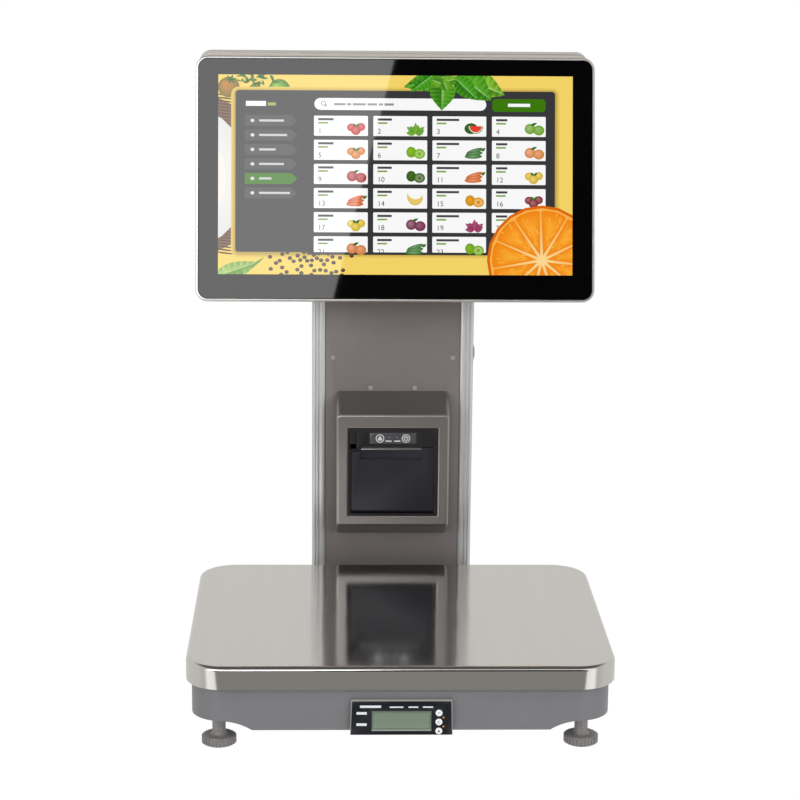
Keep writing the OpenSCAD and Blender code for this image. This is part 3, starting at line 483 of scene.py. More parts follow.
def bake_modifiers(piece: bpy.types.Object) -> None:
    """Turns the evaluated object into a plain mesh."""
    bpy.context.view_layer.update()
    evaluated = piece.evaluated_get(bpy.context.evaluated_depsgraph_get())
    mesh = bpy.data.meshes.new_from_object(evaluated)
    piece.modifiers.clear()
    piece.data = mesh


def loft(name: str, rings: Sequence[Sequence[Point]], closed: bool = False) -> bpy.types.Object:
    """Skins rings of equal length.

    Args:
        name: The object's name.
        rings: Each ring's points.
        closed: Joins the last ring to the first, in place of a cap at each end.

    Returns:
        The object, facing outwards.
    """
    count = len(rings[0])
    points = [p for ring in rings for p in ring]
    pairs = len(rings) if closed else len(rings) - 1
    faces: list[list[int]] = []
    for layer in range(pairs):
        low, high = layer * count, (layer + 1) % len(rings) * count
        for i in range(count):
            j = (i + 1) % count
            faces.append([low + i, low + j, high + j, high + i])
    if not closed:
        faces.append(list(reversed(range(count))))
        faces.append([(len(rings) - 1) * count + i for i in range(count)])
    piece = mesh_object(name, points, faces)
    outward(piece)
    smooth(piece)
    return piece


def fillet(radius: float, steps: int = 5, reach: float = 0.0) -> list[Flat]:
    """Quarter-round as (inset, drop) pairs, from the side face to the end face.

    Args:
        radius: Its size along the end face.
        steps: Segments.
        reach: Its size along the side face, radius if left out.

    Returns:
        The pairs.
    """
    reach = reach or radius
    return [(radius * (1 - math.cos(math.pi / 2 * i / steps)),
             reach * (1 - math.sin(math.pi / 2 * i / steps))) for i in range(steps + 1)]


def lathe(name: str, profile: Sequence[Flat], centre: Point, steps: int = 64) -> bpy.types.Object:
    """Turns a profile of (radius, height) about a vertical axis."""
    rings = []
    for radius, height in profile:
        rings.append([(centre[0] + radius * math.cos(2 * math.pi * i / steps),
                       centre[1] + radius * math.sin(2 * math.pi * i / steps),
                       centre[2] + height) for i in range(steps)])
    return loft(name, rings)


def softened(node: str, width: float) -> bpy.types.Object:
    """Copy of a CAD node with its edges rounded.

    Args:
        node: The CAD node.
        width: Width of the rounding, in metres.

    Returns:
        The new piece, not yet riding on a body.
    """
    mesh = frame["nodes"][node].data.copy()
    mesh.materials.clear()
    piece = bpy.data.objects.new(f"{node}_body", mesh)
    bpy.context.scene.collection.objects.link(piece)
    shape = bmesh.new()
    shape.from_mesh(mesh)
    bmesh.ops.remove_doubles(shape, verts=shape.verts, dist=MERGE)
    bmesh.ops.dissolve_limit(shape, angle_limit=FLAT_ANGLE, verts=shape.verts,
                             edges=shape.edges)
    shape.to_mesh(mesh)
    shape.free()
    bevel = piece.modifiers.new("edges", "BEVEL")
    bevel.limit_method = "ANGLE"
    bevel.angle_limit = EDGE_ANGLE
    bevel.width = width
    bevel.segments = EDGE_STEPS
    bevel.use_clamp_overlap = True
    bevel.miter_outer = "MITER_ARC"
    bake_modifiers(piece)
    smooth(piece, 40)
    return piece


def finish_piece(piece: bpy.types.Object, finish: Finish, body: str,
                 replaces: Sequence[str] = ()) -> None:
    """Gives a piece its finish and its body.

    Args:
        piece: The piece, in place.
        finish: Its finish.
        body: The CAD body that it rides on.
        replaces: CAD nodes that it stands for.
    """
    if not piece.data.materials:
        piece.data.materials.append(finish.material())
    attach(piece, body)
    if replaces:
        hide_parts(*replaces)
    LOG.info("%s: %d faces on %s", piece.name, len(piece.data.polygons), body)


def soften(node: str, width: float, finish: Finish, body: str = "base") -> None:
    """Replaces a CAD node by its softened copy."""
    finish_piece(softened(node, width), finish, body, [node])


def dress_node(node: str, finish: Finish) -> None:
    """Gives a CAD node that stays its finish."""
    data = frame["nodes"][node].data
    data.materials.clear()
    data.materials.append(finish.material())
    LOG.info("%s: kept from the frame as %s", node, finish.name)


# ---------- repeated pieces by geometry nodes ----------


class Repeater(NodeTree):
    """A geometry node tree that copies one solid along a rule."""

    def __init__(self, name: str, inputs: Sequence[tuple[str, str, float]]) -> None:
        """Makes the tree with its named inputs.

        Args:
            name: The tree's name.
            inputs: Name, socket type and default of each size.
        """
        super().__init__(bpy.data.node_groups.new(name, "GeometryNodeTree"))
        face = self.tree.interface
        face.new_socket("Geometry", in_out="INPUT", socket_type="NodeSocketGeometry")
        for title, kind, default in inputs:
            socket = face.new_socket(title, in_out="INPUT", socket_type=kind)
            socket.default_value = default
        face.new_socket("Geometry", in_out="OUTPUT", socket_type="NodeSocketGeometry")
        self.entry = self.tree.nodes.new("NodeGroupInput")
        self.exit = self.tree.nodes.new("NodeGroupOutput")

    def size(self, title: str) -> bpy.types.NodeSocket:
        """A named input's socket."""
        return self.entry.outputs[title]

    def close(self, geometry: bpy.types.NodeSocket, finish: Finish) -> None:
        """Realises the copies, sets their material and ends the tree."""
        real = self.add("GeometryNodeRealizeInstances", {}, {0: geometry})
        dressed = self.add("GeometryNodeSetMaterial", {}, {0: real.outputs[0],
                                                          "Material": finish.material()})
        self.tree.links.new(dressed.outputs[0], self.exit.inputs[0])

    def grow(self, name: str, points: Sequence[Point], **sizes: float) -> bpy.types.Object:
        """Runs the tree on loose points.

        Args:
            name: The result's name.
            points: Where the copies go, where the tree uses its input.
            sizes: Values of named inputs.

        Returns:
            The plain mesh object.
        """
        piece = mesh_object(name, points, [])
        modifier = piece.modifiers.new(name, "NODES")
        modifier.node_group = self.tree
        for item in self.tree.interface.items_tree:
            if item.in_out == "INPUT" and item.name in sizes:
                modifier[item.identifier] = sizes[item.name]
        bake_modifiers(piece)
        smooth(piece, 35)
        return piece


def rib_ring(finish: Finish) -> Repeater:
    """Upright ribs around a disc's edge at each point."""
    rib_r, rib_sides = 0.0011, 10
    tree = Repeater("rib_ring_tree", [("Radius", "NodeSocketFloat", 0.0149),
                                      ("Height", "NodeSocketFloat", 0.0064),
                                      ("Count", "NodeSocketInt", 28)])
    circle = tree.add("GeometryNodeMeshCircle", {}, {"Vertices": tree.size("Count"),
                                                     "Radius": tree.size("Radius")})
    rib = tree.add("GeometryNodeMeshCylinder", {}, {
        "Vertices": rib_sides, "Side Segments": 1, "Fill Segments": 1, "Radius": rib_r,
        "Depth": tree.size("Height")})
    ring = tree.add("GeometryNodeInstanceOnPoints", {}, {"Points": circle.outputs[0],
                                                         "Instance": rib.outputs[0]})
    around = tree.add("GeometryNodeInstanceOnPoints", {}, {
        "Points": tree.entry.outputs[0], "Instance": ring.outputs[0]})
    tree.close(around.outputs[0], finish)
    return tree


# ---------- pictures ----------


Painted = tuple[float, float, Colour]


class Picture:
    """Flat coloured shapes on a plane, in layers, cut to the plane's rectangle."""

    step = 0.000024              # metres between two layers
    base = 1.5                   # layers between the plane and the lowest one
    figure_size = 1.42           # a font's size for figures one high

    def __init__(self, name: str, half: Flat) -> None:
        """Starts an empty picture.

        Args:
            name: The name of the mesh object.
            half: Half the width and half the height, in metres.
        """
        self.name = name
        self.half = half
        self.points: list[Point] = []
        self.faces: list[list[int]] = []
        self.paints: list[Colour] = []

    def _clip(self, corners: list[Painted]) -> list[Painted]:
        """Cuts a painted polygon to the rectangle, blending its colours at the cuts."""
        for axis in (0, 1):
            for side in (1, -1):
                limit = self.half[axis]
                kept: list[Painted] = []
                for i, here in enumerate(corners):
                    there = corners[(i + 1) % len(corners)]
                    a, b = side * here[axis] - limit, side * there[axis] - limit
                    if a <= 0:
                        kept.append(here)
                    if (a < 0 < b) or (b < 0 < a):
                        t = a / (a - b)
                        spot = [here[k] + t * (there[k] - here[k]) for k in (0, 1)]
                        paint = tuple(p + t * (q - p) for p, q in zip(here[2], there[2]))
                        kept.append((spot[0], spot[1], paint))
                corners = kept
                if not corners:
                    return []
        return corners

    def polygon(self, corners: list[Painted], level: float) -> None:
        """Adds one convex painted polygon at a level."""
        kept = self._clip(corners)
        if len(kept) < 3:
            return
        start = len(self.points)
        for u, v, paint in kept:
            self.points.append((u, -(level + self.base) * self.step, v))
            self.paints.append(paint)
        self.faces.append(list(range(start, start + len(kept))))

    def fan(self, outline: Sequence[Flat], colour: Colour, level: float,
            edge: Colour | None = None, hub: Flat | None = None) -> None:
        """Adds an outline filled from a hub.

        Args:
            outline: The outline's points, anticlockwise.
            colour: Colour at the hub.
            level: The layer.
            edge: Colour at the outline, the same as colour if left out.
            hub: The hub's place, the outline's mean if left out.
        """
        edge = edge or colour
        hub = hub or (sum(p[0] for p in outline) / len(outline),
                      sum(p[1] for p in outline) / len(outline))
        for i, here in enumerate(outline):
            there = outline[(i + 1) % len(outline)]
            self.polygon([(*hub, colour), (*here, edge), (*there, edge)], level)

    def box(self, left: float, low: float, right: float, high: float, colour: Colour,
            level: float, radius: float = 0.0, top: Colour | None = None) -> None:
        """Adds a rectangle, with round corners or blended to another colour at its top."""
        if radius:
            ring = rounded_ring(right - left, high - low, radius, 4)
            cx, cy = (left + right) / 2, (low + high) / 2
            self.polygon([(cx + u, cy + v, colour) for u, v in ring], level)
        else:
            top = top or colour
            self.polygon([(left, low, colour), (right, low, colour), (right, high, top),
                          (left, high, top)], level)

    def disc(self, size: float, colour: Colour, level: float, steps: int) -> None:
        """Adds a disc of one colour in the picture's middle."""
        self.fan(rounded_ring(size, size, size / 2 - LEAST_RADIUS, steps), colour, level)

    def oval(self, centre: Flat, width: float, height: float, colour: Colour, level: float,
             edge: Colour | None = None, turn: float = 0.0, gleam: float = 0.25) -> None:
        """Adds a shaded oval whose bright spot lies up and to the left."""
        ring = []
        steps = 20
        for i in range(steps):
            a = 2 * math.pi * i / steps
            u, v = width / 2 * math.cos(a), height / 2 * math.sin(a)
            ring.append((centre[0] + u * math.cos(turn) - v * math.sin(turn),
                         centre[1] + u * math.sin(turn) + v * math.cos(turn)))
        hub = (centre[0] - gleam * width / 2, centre[1] + gleam * height / 2)
        self.fan(ring, colour, level, edge, hub)

    def leaf(self, root: Flat, tip: Flat, width: float, colour: Colour, level: float,
             edge: Colour) -> None:
        """Adds a pointed leaf from root to tip, darker along one half."""
        du, dv = tip[0] - root[0], tip[1] - root[1]
        length = math.hypot(du, dv)
        steps = 8
        sides: list[list[Flat]] = [[], []]
        for i in range(steps + 1):
            t = i / steps
            bulge = width / 2 * math.sin(math.pi * t ** 0.8)
            for k, sign in enumerate((1, -1)):
                sides[k].append((root[0] + t * du - sign * bulge * dv / length,
                                 root[1] + t * dv + sign * bulge * du / length))
        spine = [(root[0] + i / steps * du, root[1] + i / steps * dv) for i in range(steps + 1)]
        for k, tint in enumerate((colour, edge)):
            for i in range(steps):
                quad = [(*spine[i], tint), (*spine[i + 1], tint), (*sides[k][i + 1], edge),
                        (*sides[k][i], colour)]
                self.polygon(quad, level)

    def number(self, value: int, left: float, low: float, height: float, colour: Colour,
               level: float) -> None:
        """Adds a whole number in the plain built-in figures."""
        curve = bpy.data.curves.new("figures", "FONT")
        curve.body = str(value)
        curve.size = height * self.figure_size
        holder = bpy.data.objects.new("figures", curve)
        bpy.context.scene.collection.objects.link(holder)
        bpy.context.view_layer.update()
        shape = holder.evaluated_get(bpy.context.evaluated_depsgraph_get()).to_mesh()
        for face in shape.polygons:
            corners = [shape.vertices[i].co for i in face.vertices]
            self.polygon([(left + c.x, low + c.y, colour) for c in corners], level)
        bpy.data.objects.remove(holder)
        bpy.data.curves.remove(curve)

    def build(self, place: Matrix, finish: Finish, paint: str = "paint") -> bpy.types.Object:
        """Makes the mesh object.

        Args:
            place: Takes the picture's plane (X right, Z up, facing -Y) to the frame.
            finish: A finish that reads the paint.
            paint: The colour attribute's name.

        Returns:
            The object.
        """
        piece = mesh_object(self.name, self.points, self.faces)
        layer = piece.data.color_attributes.new(paint, "FLOAT_COLOR", "POINT")
        for spot, colour in zip(layer.data, self.paints):
            spot.color = (*colour, 1)
        piece.data.transform(place)
        facing = place.to_3x3() @ Vector((0, -1, 0))
        shape = bmesh.new()
        shape.from_mesh(piece.data)
        bmesh.ops.reverse_faces(shape, faces=[f for f in shape.faces if f.normal.dot(facing) < 0])
        shape.to_mesh(piece.data)
        shape.free()
        piece.data.materials.append(finish.material())
        return piece


def mixed(first: Colour, second: Colour, share: float) -> Colour:
    """Colour between two colours."""
    return tuple(a + share * (b - a) for a, b in zip(first, second))


class Goods(Enum):
    """Kinds of goods pictured on the sales screen."""

    BALLS = "balls"
    GREENS = "greens"
    LONG = "long"
    HALVES = "halves"
    SLICE = "slice"
    CURVED = "curved"
    PAIR = "pair"


@dataclass
class SalesPicture:
    """The picture on the operator's screen: a shop's sales page over a table of fruit."""

    half: Flat = (172.1 * MM, 96.8 * MM)
    columns: tuple[float, ...] = (-79.4, -21.8, 35.6, 93.5)
    tile_w: float = 52.3
    tile_h: float = 19.5
    pitch: float = 23.4
    first_top: float = 57.3
    window: tuple[float, float, float, float] = (-155.4, -75.1, 154.9, 81.8)
    corner: float = 3.0
    tab_left: float = -146.4
    tab_top: float = 57.6
    tab_w: float = 45.0
    tab_h: float = 10.7
    tab_point: float = 6.0
    tab_pitch: float = 14.04
    tab_bars: tuple[float, ...] = (24, 27, 16, 24, 12, 30)
    chosen: int = 4
    tile_bars: tuple[float, ...] = (15, 14, 22, 11)
    orange: Flat = (142.3, -82.3)
    orange_r: float = 53.5
    segments: int = 11
    art: Picture = field(init=False)

    yellow = srgb(247, 214, 104)
    ground = srgb(57, 57, 59)
    white = srgb(252, 252, 252)
    leaf_green = srgb(74, 140, 34)
    deep_green = srgb(34, 84, 20)
    kinds = (
        (Goods.BALLS, (222, 48, 30)), (Goods.GREENS, (118, 186, 48)), (Goods.SLICE, (232, 62, 52)),
        (Goods.PAIR, (132, 190, 58)), (Goods.BALLS, (240, 142, 28)), (Goods.HALVES, (140, 196, 46)),
        (Goods.LONG, (56, 132, 44)), (Goods.PAIR, (244, 160, 88)), (Goods.PAIR, (196, 30, 34)),
        (Goods.HALVES, (70, 112, 38)), (Goods.LONG, (240, 118, 30)), (Goods.BALLS, (246, 210, 46)),
        (Goods.LONG, (238, 112, 32)), (Goods.CURVED, (248, 208, 56)), (Goods.HALVES, (240, 168, 36)),
        (Goods.BALLS, (150, 18, 34)), (Goods.BALLS, (244, 212, 40)), (Goods.PAIR, (138, 44, 92)),
        (Goods.GREENS, (176, 66, 110)), (Goods.SLICE, (222, 54, 48)), (Goods.PAIR, (242, 150, 80)),
        (Goods.LONG, (62, 138, 48)), (Goods.HALVES, (136, 190, 44)),
    )

    def __post_init__(self) -> None:
        """Starts the picture."""
        self.art = Picture("operator_picture", self.half)

    def _box(self, left: float, low: float, right: float, high: float, colour: Colour,
             level: float, radius: float = 0.0) -> None:
        """Adds a rectangle given in millimetres."""
        self.art.box(left * MM, low * MM, right * MM, high * MM, colour, level, radius * MM)

    def _oval(self, u: float, v: float, width: float, height: float, colour: Colour,
              level: float, edge: Colour | None = None, turn: float = 0.0,
              gleam: float = 0.25) -> None:
        """Adds an oval given in millimetres."""
        self.art.oval((u * MM, v * MM), width * MM, height * MM, colour, level, edge, turn, gleam)

    def _leaf(self, root: Flat, tip: Flat, width: float, level: float, colour: Colour,
              edge: Colour) -> None:
        """Adds a leaf given in millimetres."""
        self.art.leaf((root[0] * MM, root[1] * MM), (tip[0] * MM, tip[1] * MM), width * MM,
                      colour, level, edge)

    def _table(self) -> None:
        """The yellow table with a plate on a mat at its left edge."""
        self._box(-173, -97, 173, 97, self.yellow, 0)
        mat, weave = srgb(128, 96, 72), srgb(92, 66, 48)
        self._oval(-196, 0, 156, 156, mat, 0.4, mat, 0, 0)
        for i in range(52):
            self._leaf((-176, -75 + 3 * i), (-152, -78 + 3 * i), 1.6, 0.8, weave, weave)
        self._oval(-210, -3, 141, 141, srgb(250, 250, 250), 1.2, srgb(226, 226, 222), 0, 0)
        self._oval(-216, -3, 104, 104, srgb(252, 246, 236), 1.6, srgb(244, 238, 228), 0, 0)

    def _window(self) -> None:
        """The dark window and its soft shadow on the table."""
        left, low, right, high = self.window
        for i in range(7):
            grow = 4.9 - 0.7 * i
            tone = mixed(self.yellow, srgb(120, 98, 40), 0.05 + 0.085 * i)
            self._box(left - grow, low - grow - 1, right + grow, high + grow - 1, tone,
                      2.2 + i * 0.1 if i else 0.3, self.corner + grow)
        self._box(left, low, right, high, self.ground, 3.2, self.corner)

    def _header(self) -> None:
        """Title bar, search field and its button."""
        self._box(-145.4, 66.4, -126, 71.2, self.white, 4)
        self._box(-124.4, 66.9, -116.4, 69.8, srgb(150, 190, 70), 4)
        self._box(-79.1, 62.9, 87.9, 74.5, self.white, 4, 5.7)
        ring = srgb(120, 120, 120)
        self._oval(-70.2, 69.3, 4.6, 4.6, ring, 4.6, ring)
        self._oval(-70.2, 69.3, 3.3, 3.3, self.white, 5, self.white)
        self._box(-68.9, 66.3, -67.4, 68.1, ring, 4.6)
        place = -60.0
        for length in (11, 4, 12.5, 9.5, 4, 9):
            self._box(place, 67.4, place + length, 69.6, srgb(150, 150, 150), 4.6)
            place += length + 1.6
        self._box(93.7, 62, 145.7, 74.5, srgb(62, 122, 14), 4, 3.5)
        self._box(109, 66.9, 130.6, 70, self.white, 4.6)

    def _menu(self) -> None:
        """Six arrow-ended tabs, the fifth one chosen."""
        for i, bar in enumerate(self.tab_bars):
            high = self.tab_top - self.tab_pitch * i
            low = high - self.tab_h
            mid = (high + low) / 2
            left, right = self.tab_left, self.tab_left + self.tab_w
            tone = srgb(66, 128, 22) if i == self.chosen else srgb(78, 79, 81)
            self.art.polygon([(u * MM, v * MM, tone) for u, v in
                              [(left, low), (right, low), (right + self.tab_point, mid),
                               (right, high), (left, high)]], 4)
            self._box(left + 5.6, mid - 1.5, left + 9.2, mid + 1.5, srgb(222, 222, 222), 4.6, 1.2)
            self._box(left + 13.9, mid - 1, left + 13.9 + bar, mid + 1.1, srgb(206, 206, 208), 4.6)

    def _goods(self, kind: Goods, tone: tuple[int, int, int], u: float, v: float) -> None:
        """A small picture of goods centred at u, v.

        Args:
            kind: What is pictured.
            tone: Its display colour.
            u: Across, in millimetres.
            v: Up, in millimetres.
        """
        main = srgb(*tone)
        light, dark = mixed(main, (1, 1, 1), 0.18), mixed(main, (0, 0, 0), 0.32)
        if kind is Goods.BALLS:
            for i, (du, dv, size) in enumerate([(-5, 1.2, 8), (4.6, 1.6, 8.4), (-0.4, -1.8, 9.4)]):
                self._oval(u + du, v + dv, size, size * 0.94, light, 6 + i * 0.5, dark)
            self._leaf((u, v + 2), (u - 3.5, v + 5), 2.4, 7.6, self.leaf_green, self.deep_green)
            self._leaf((u, v + 2), (u + 3.4, v + 5.2), 2.4, 7.6, self.leaf_green, self.deep_green)
        elif kind is Goods.PAIR:
            self._oval(u - 4, v + 0.6, 10.4, 10.2, light, 6, dark)
            self._oval(u + 4.6, v - 0.8, 10.8, 9.8, mixed(light, main, 0.4), 6.5, dark)
            self._leaf((u - 3, v + 4), (u + 3, v + 6.6), 2.6, 7, self.leaf_green, self.deep_green)
        elif kind is Goods.GREENS:
            for i in range(11):
                a = math.pi * (0.02 + i / 10 * 0.96)
                reach = 7.6 + 1.8 * ((i * 7) % 3)
                tip = (u + reach * math.cos(a), v - 4.5 + reach * 0.95 * math.sin(a))
                self._leaf((u, v - 4.5), tip, 5, 6 + 0.2 * (i % 5),
                           mixed(main, light, 0.3 * (i % 3)), dark)
        elif kind is Goods.LONG:
            for i, (dv, turn) in enumerate([(2.2, 0.3), (-0.6, 0.16), (-3.1, 0.02)]):
                self._oval(u - 0.6 * i, v + dv, 17, 4.4, light, 6 + i * 0.5, dark, turn, 0.1)
            self._leaf((u + 7, v + 2), (u + 10.5, v + 5.5), 2.6, 7.6, self.leaf_green, self.deep_green)
        elif kind is Goods.HALVES:
            self._oval(u - 4.2, v + 0.8, 9.6, 10.6, main, 6, dark)
            self._oval(u + 3.8, v - 0.8, 11, 9.6, dark, 6.5, dark)
            self._oval(u + 3.8, v - 0.8, 9.4, 8, mixed(light, (1, 1, 0.8), 0.3), 7, main, 0, 0)
            self._oval(u + 3.8, v - 0.8, 3.4, 3.2, mixed(main, (0.35, 0.2, 0.05), 0.4), 7.5, dark)
        elif kind is Goods.SLICE:
            self._oval(u - 3.4, v + 0.6, 13, 10.6, srgb(70, 140, 50), 6, srgb(24, 70, 22))
            arc = [(u + 1 + 7.4 * math.cos(a), v + 3 + 7.4 * math.sin(a))
                   for a in [math.pi + math.pi * i / 12 for i in range(13)]]
            for grow, tint, level in ((1.0, srgb(50, 120, 40), 6.6), (0.9, srgb(236, 240, 214), 7),
                                      (0.8, main, 7.4)):
                ring = [((u + 1 + (p - u - 1) * grow) * MM, (v + 3 + (q - v - 3) * grow) * MM)
                        for p, q in arc]
                self.art.fan(ring, tint, level)
        else:
            for i, spread in enumerate((0.0, 2.5, 5.0)):
                outer: list[Flat] = []
                inner: list[Flat] = []
                bow = 9.5
                middle = v + 8 + spread * 0.7
                for k in range(9):
                    a = math.radians(205 + 15 * k)
                    far = bow + 2.5 * math.sin(math.pi * (k + 0.6) / 9.2)
                    outer.append((u + far * math.cos(a) * 0.9, middle + far * math.sin(a)))
                    inner.append((u + bow * math.cos(a) * 0.9, middle + bow * math.sin(a)))
                for k in range(8):
                    quad = [(*outer[k], dark), (*outer[k + 1], dark), (*inner[k + 1], light),
                            (*inner[k], light)]
                    self.art.polygon([(p * MM, q * MM, c) for p, q, c in quad], 6.9 - i * 0.4)

    def _tiles(self) -> None:
        """The white tiles, four to a row, each with bars, a number and goods."""
        floor = self.window[1]
        figure, bar, price = srgb(64, 64, 66), srgb(70, 70, 72), srgb(126, 164, 66)
        for i, (kind, tone) in enumerate(self.kinds):
            column, row = i % 4, i // 4
            left, high = self.columns[column], self.first_top - self.pitch * row
            low = max(high - self.tile_h, floor)
            inside = left + 4
            self._box(left, low, left + self.tile_w, high, self.white, 4, 0.9)
            self._box(inside, high - 4.5, inside + self.tile_bars[(i * 5) % 4], high - 2.3, bar, 5)
            self._box(inside, high - 7.7, inside + 9.5, high - 6.1, price, 5)
            whole = low < high - 15
            number_low, number_h = (high - 17.2, 5) if whole else (low + 0.6, 4)
            self.art.number(i + 1, inside * MM, number_low * MM, number_h * MM, figure, 5)
            self._goods(kind, tone, left + 41, high - 12.4 if whole else low + 5.6)
        self._box(-84, floor - 2.5, 150, floor, self.ground, 4.4)

    def _top_plants(self) -> None:
        """Two tomatoes with their green at the top left, basil leaves over the search field."""
        for u, v, size, tone, rim in (
                (-162, 84.5, 21, srgb(206, 132, 52), srgb(120, 110, 26)),
                (-113, 82.5, 21, srgb(150, 204, 70), srgb(62, 120, 24))):
            self._oval(u, v, size, size * 0.96, tone, 1.8, rim, 0, 0.35)
        random.seed(5)
        for i in range(34):
            root = (random.uniform(-150, -120), random.uniform(84, 97))
            a = random.uniform(-math.pi, math.pi)
            reach = random.uniform(5, 10)
            tone = mixed(srgb(70, 124, 40), srgb(132, 176, 78), random.random())
            self._leaf(root, (root[0] + reach * math.cos(a), root[1] + 0.7 * reach * math.sin(a)),
                       random.uniform(1.4, 3.4), 1.9 + 0.09 * (i % 3), tone, srgb(36, 78, 22))
        for i in range(6):
            a = math.radians(60 * i + 10)
            self._leaf((-160, 92), (-160 + 6 * math.cos(a), 92 + 5 * math.sin(a)), 2, 2.1,
                       srgb(80, 130, 44), srgb(44, 84, 26))
        fresh, deep = srgb(84, 172, 40), srgb(22, 92, 16)
        for root, tip, width, level, share in (
                ((64, 97), (106, 78), 25, 8.0, 0.55), ((60, 99), (93, 73), 27, 8.2, 0.1),
                ((56, 96), (80, 73), 18, 8.4, 0.0), ((52, 97), (7.5, 85.5), 20, 8.6, 0.15),
                ((38, 99), (14, 81), 13, 8.8, 0.0), ((46, 94), (44.5, 63), 25, 9.0, 0.1),
                ((45, 90), (60, 94), 12, 9.2, 0.4), ((46, 89), (34, 93), 12, 9.3, 0.35),
                ((46, 92), (50, 81), 11, 9.4, 0.3)):
            tone = mixed(fresh, srgb(170, 214, 70), share)
            self._leaf(root, tip, width, level, tone, mixed(deep, tone, 0.25))
            self._leaf(root, tip, width * 0.08, level + 0.08, mixed(tone, (1, 1, 1), 0.3), tone)

    def _low_plants(self) -> None:
        """Peppercorns and a leaf at the bottom left."""
        random.seed(7)
        placed: list[Flat] = []
        while len(placed) < 46:
            u, v = random.gauss(-84, 17), -75 - abs(random.gauss(0, 10))
            if not -128 < u < -42 or any(math.hypot(u - p, v - q) < 4.2 for p, q in placed):
                continue
            placed.append((u, v))
            tone = random.choice([srgb(112, 78, 62), srgb(92, 62, 50), srgb(76, 50, 42)])
            self._oval(u, v, 4.2, 3.7, mixed(tone, (1, 1, 1), 0.08), 3.0, srgb(40, 24, 20), 0, 0.3)
        self._leaf((-178, -101), (-132, -85), 17, 1.8, srgb(176, 206, 120), srgb(104, 158, 60))
        self._leaf((-140, -90), (-127, -80), 2.4, 1.9, srgb(120, 170, 70), srgb(96, 150, 56))

    def _around(self, share: float, turn: float) -> Flat:
        """A place on the orange: share of its radius from its middle, at an angle."""
        far = share * self.orange_r
        return self.orange[0] + far * math.cos(turn), self.orange[1] + far * math.sin(turn)

    def _orange(self) -> None:
        """Half an orange at the bottom right: peel, pith, segments and their fibres."""
        size = 2 * self.orange_r
        self._oval(*self.orange, size, size, srgb(246, 148, 22), 8, srgb(222, 104, 8), 0, 0)
        self._oval(*self.orange, 0.95 * size, 0.95 * size, srgb(255, 220, 150), 8.4,
                   srgb(252, 178, 76), 0, 0)
        wedge = 2 * math.pi / self.segments
        for i in range(self.segments):
            a = wedge * (i + 0.3)
            outline = [self._around(0.91 - 0.9 * abs(t) ** 5, a + wedge * t * 0.95)
                       for t in (-0.5, -0.45, -0.36, -0.2, 0, 0.2, 0.36, 0.45, 0.5)]
            outline.append(self._around(0.09, a))
            hub = self._around(0.55, a)
            self.art.fan([(u * MM, v * MM) for u, v in outline], srgb(255, 176, 52), 8.8,
                         srgb(244, 134, 20), (hub[0] * MM, hub[1] * MM))
            random.seed(40 + i)
            for _ in range(14):
                share = random.uniform(0.25, 0.84)
                turn = a + random.uniform(-0.19, 0.19)
                self._leaf(self._around(share, turn), self._around(share + 5 / self.orange_r, turn),
                           1.3, 9.2, srgb(255, 196, 84), srgb(250, 160, 40))

    def build(self, place: Matrix) -> bpy.types.Object:
        """Paints everything and makes the mesh."""
        self._table()
        self._window()
        self._header()
        self._menu()
        self._tiles()
        self._top_plants()
        self._low_plants()
        self._orange()
        return self.art.build(place, Finishes.picture)


@dataclass
class TotalPicture:
    """The picture on the customer's screen: a plain total and a list."""

    half: Flat = (172.1 * MM, 96.8 * MM)
    lines: int = 5

    def build(self, place: Matrix) -> bpy.types.Object:
        """Paints everything and makes the mesh."""
        art = Picture("customer_picture", self.half)
        deep, pale = srgb(34, 88, 60), srgb(238, 242, 236)
        art.box(-0.173, -0.097, 0.173, 0.097, pale, 0, top=srgb(222, 232, 220))
        art.box(-0.173, 0.068, 0.173, 0.097, deep, 1)
        art.box(-0.16, 0.078, -0.1, 0.086, pale, 2)
        art.box(0.03, -0.085, 0.162, 0.058, srgb(255, 255, 255), 1, 0.004)
        for i in range(self.lines):
            low = 0.04 - 0.018 * i
            art.box(0.038, low, 0.038 + (0.05, 0.042, 0.058, 0.036, 0.048)[i % 5], low + 0.005,
                    srgb(90, 96, 92), 2)
            art.number((125, 340, 89, 210, 465)[i % 5], 0.13, low - 0.001, 0.007, srgb(60, 66, 62), 2)
        art.box(0.038, -0.05, 0.154, -0.0494, srgb(180, 184, 180), 2)
        art.number(1229, 0.104, -0.075, 0.016, deep, 2)
        art.box(0.038, -0.072, 0.07, -0.064, srgb(60, 66, 62), 2)
        for i in range(3):
            left = -0.16 + 0.06 * i
            art.box(left, -0.03, left + 0.052, 0.045, srgb(255, 255, 255), 1, 0.004)
            tone = (srgb(232, 120, 40), srgb(206, 44, 40), srgb(120, 176, 60))[i]
            art.oval((left + 0.026, 0.014), 0.034, 0.034, mixed(tone, (1, 1, 1), 0.3), 2,
                     mixed(tone, (0, 0, 0), 0.4))
            art.box(left + 0.008, -0.022, left + 0.04, -0.017, srgb(120, 124, 120), 2)
        art.box(-0.16, -0.085, 0.012, -0.045, deep, 1, 0.004)
        art.box(-0.15, -0.068, -0.06, -0.06, pale, 2)
        return art.build(place, Finishes.picture)


# ---------- the scale ----------


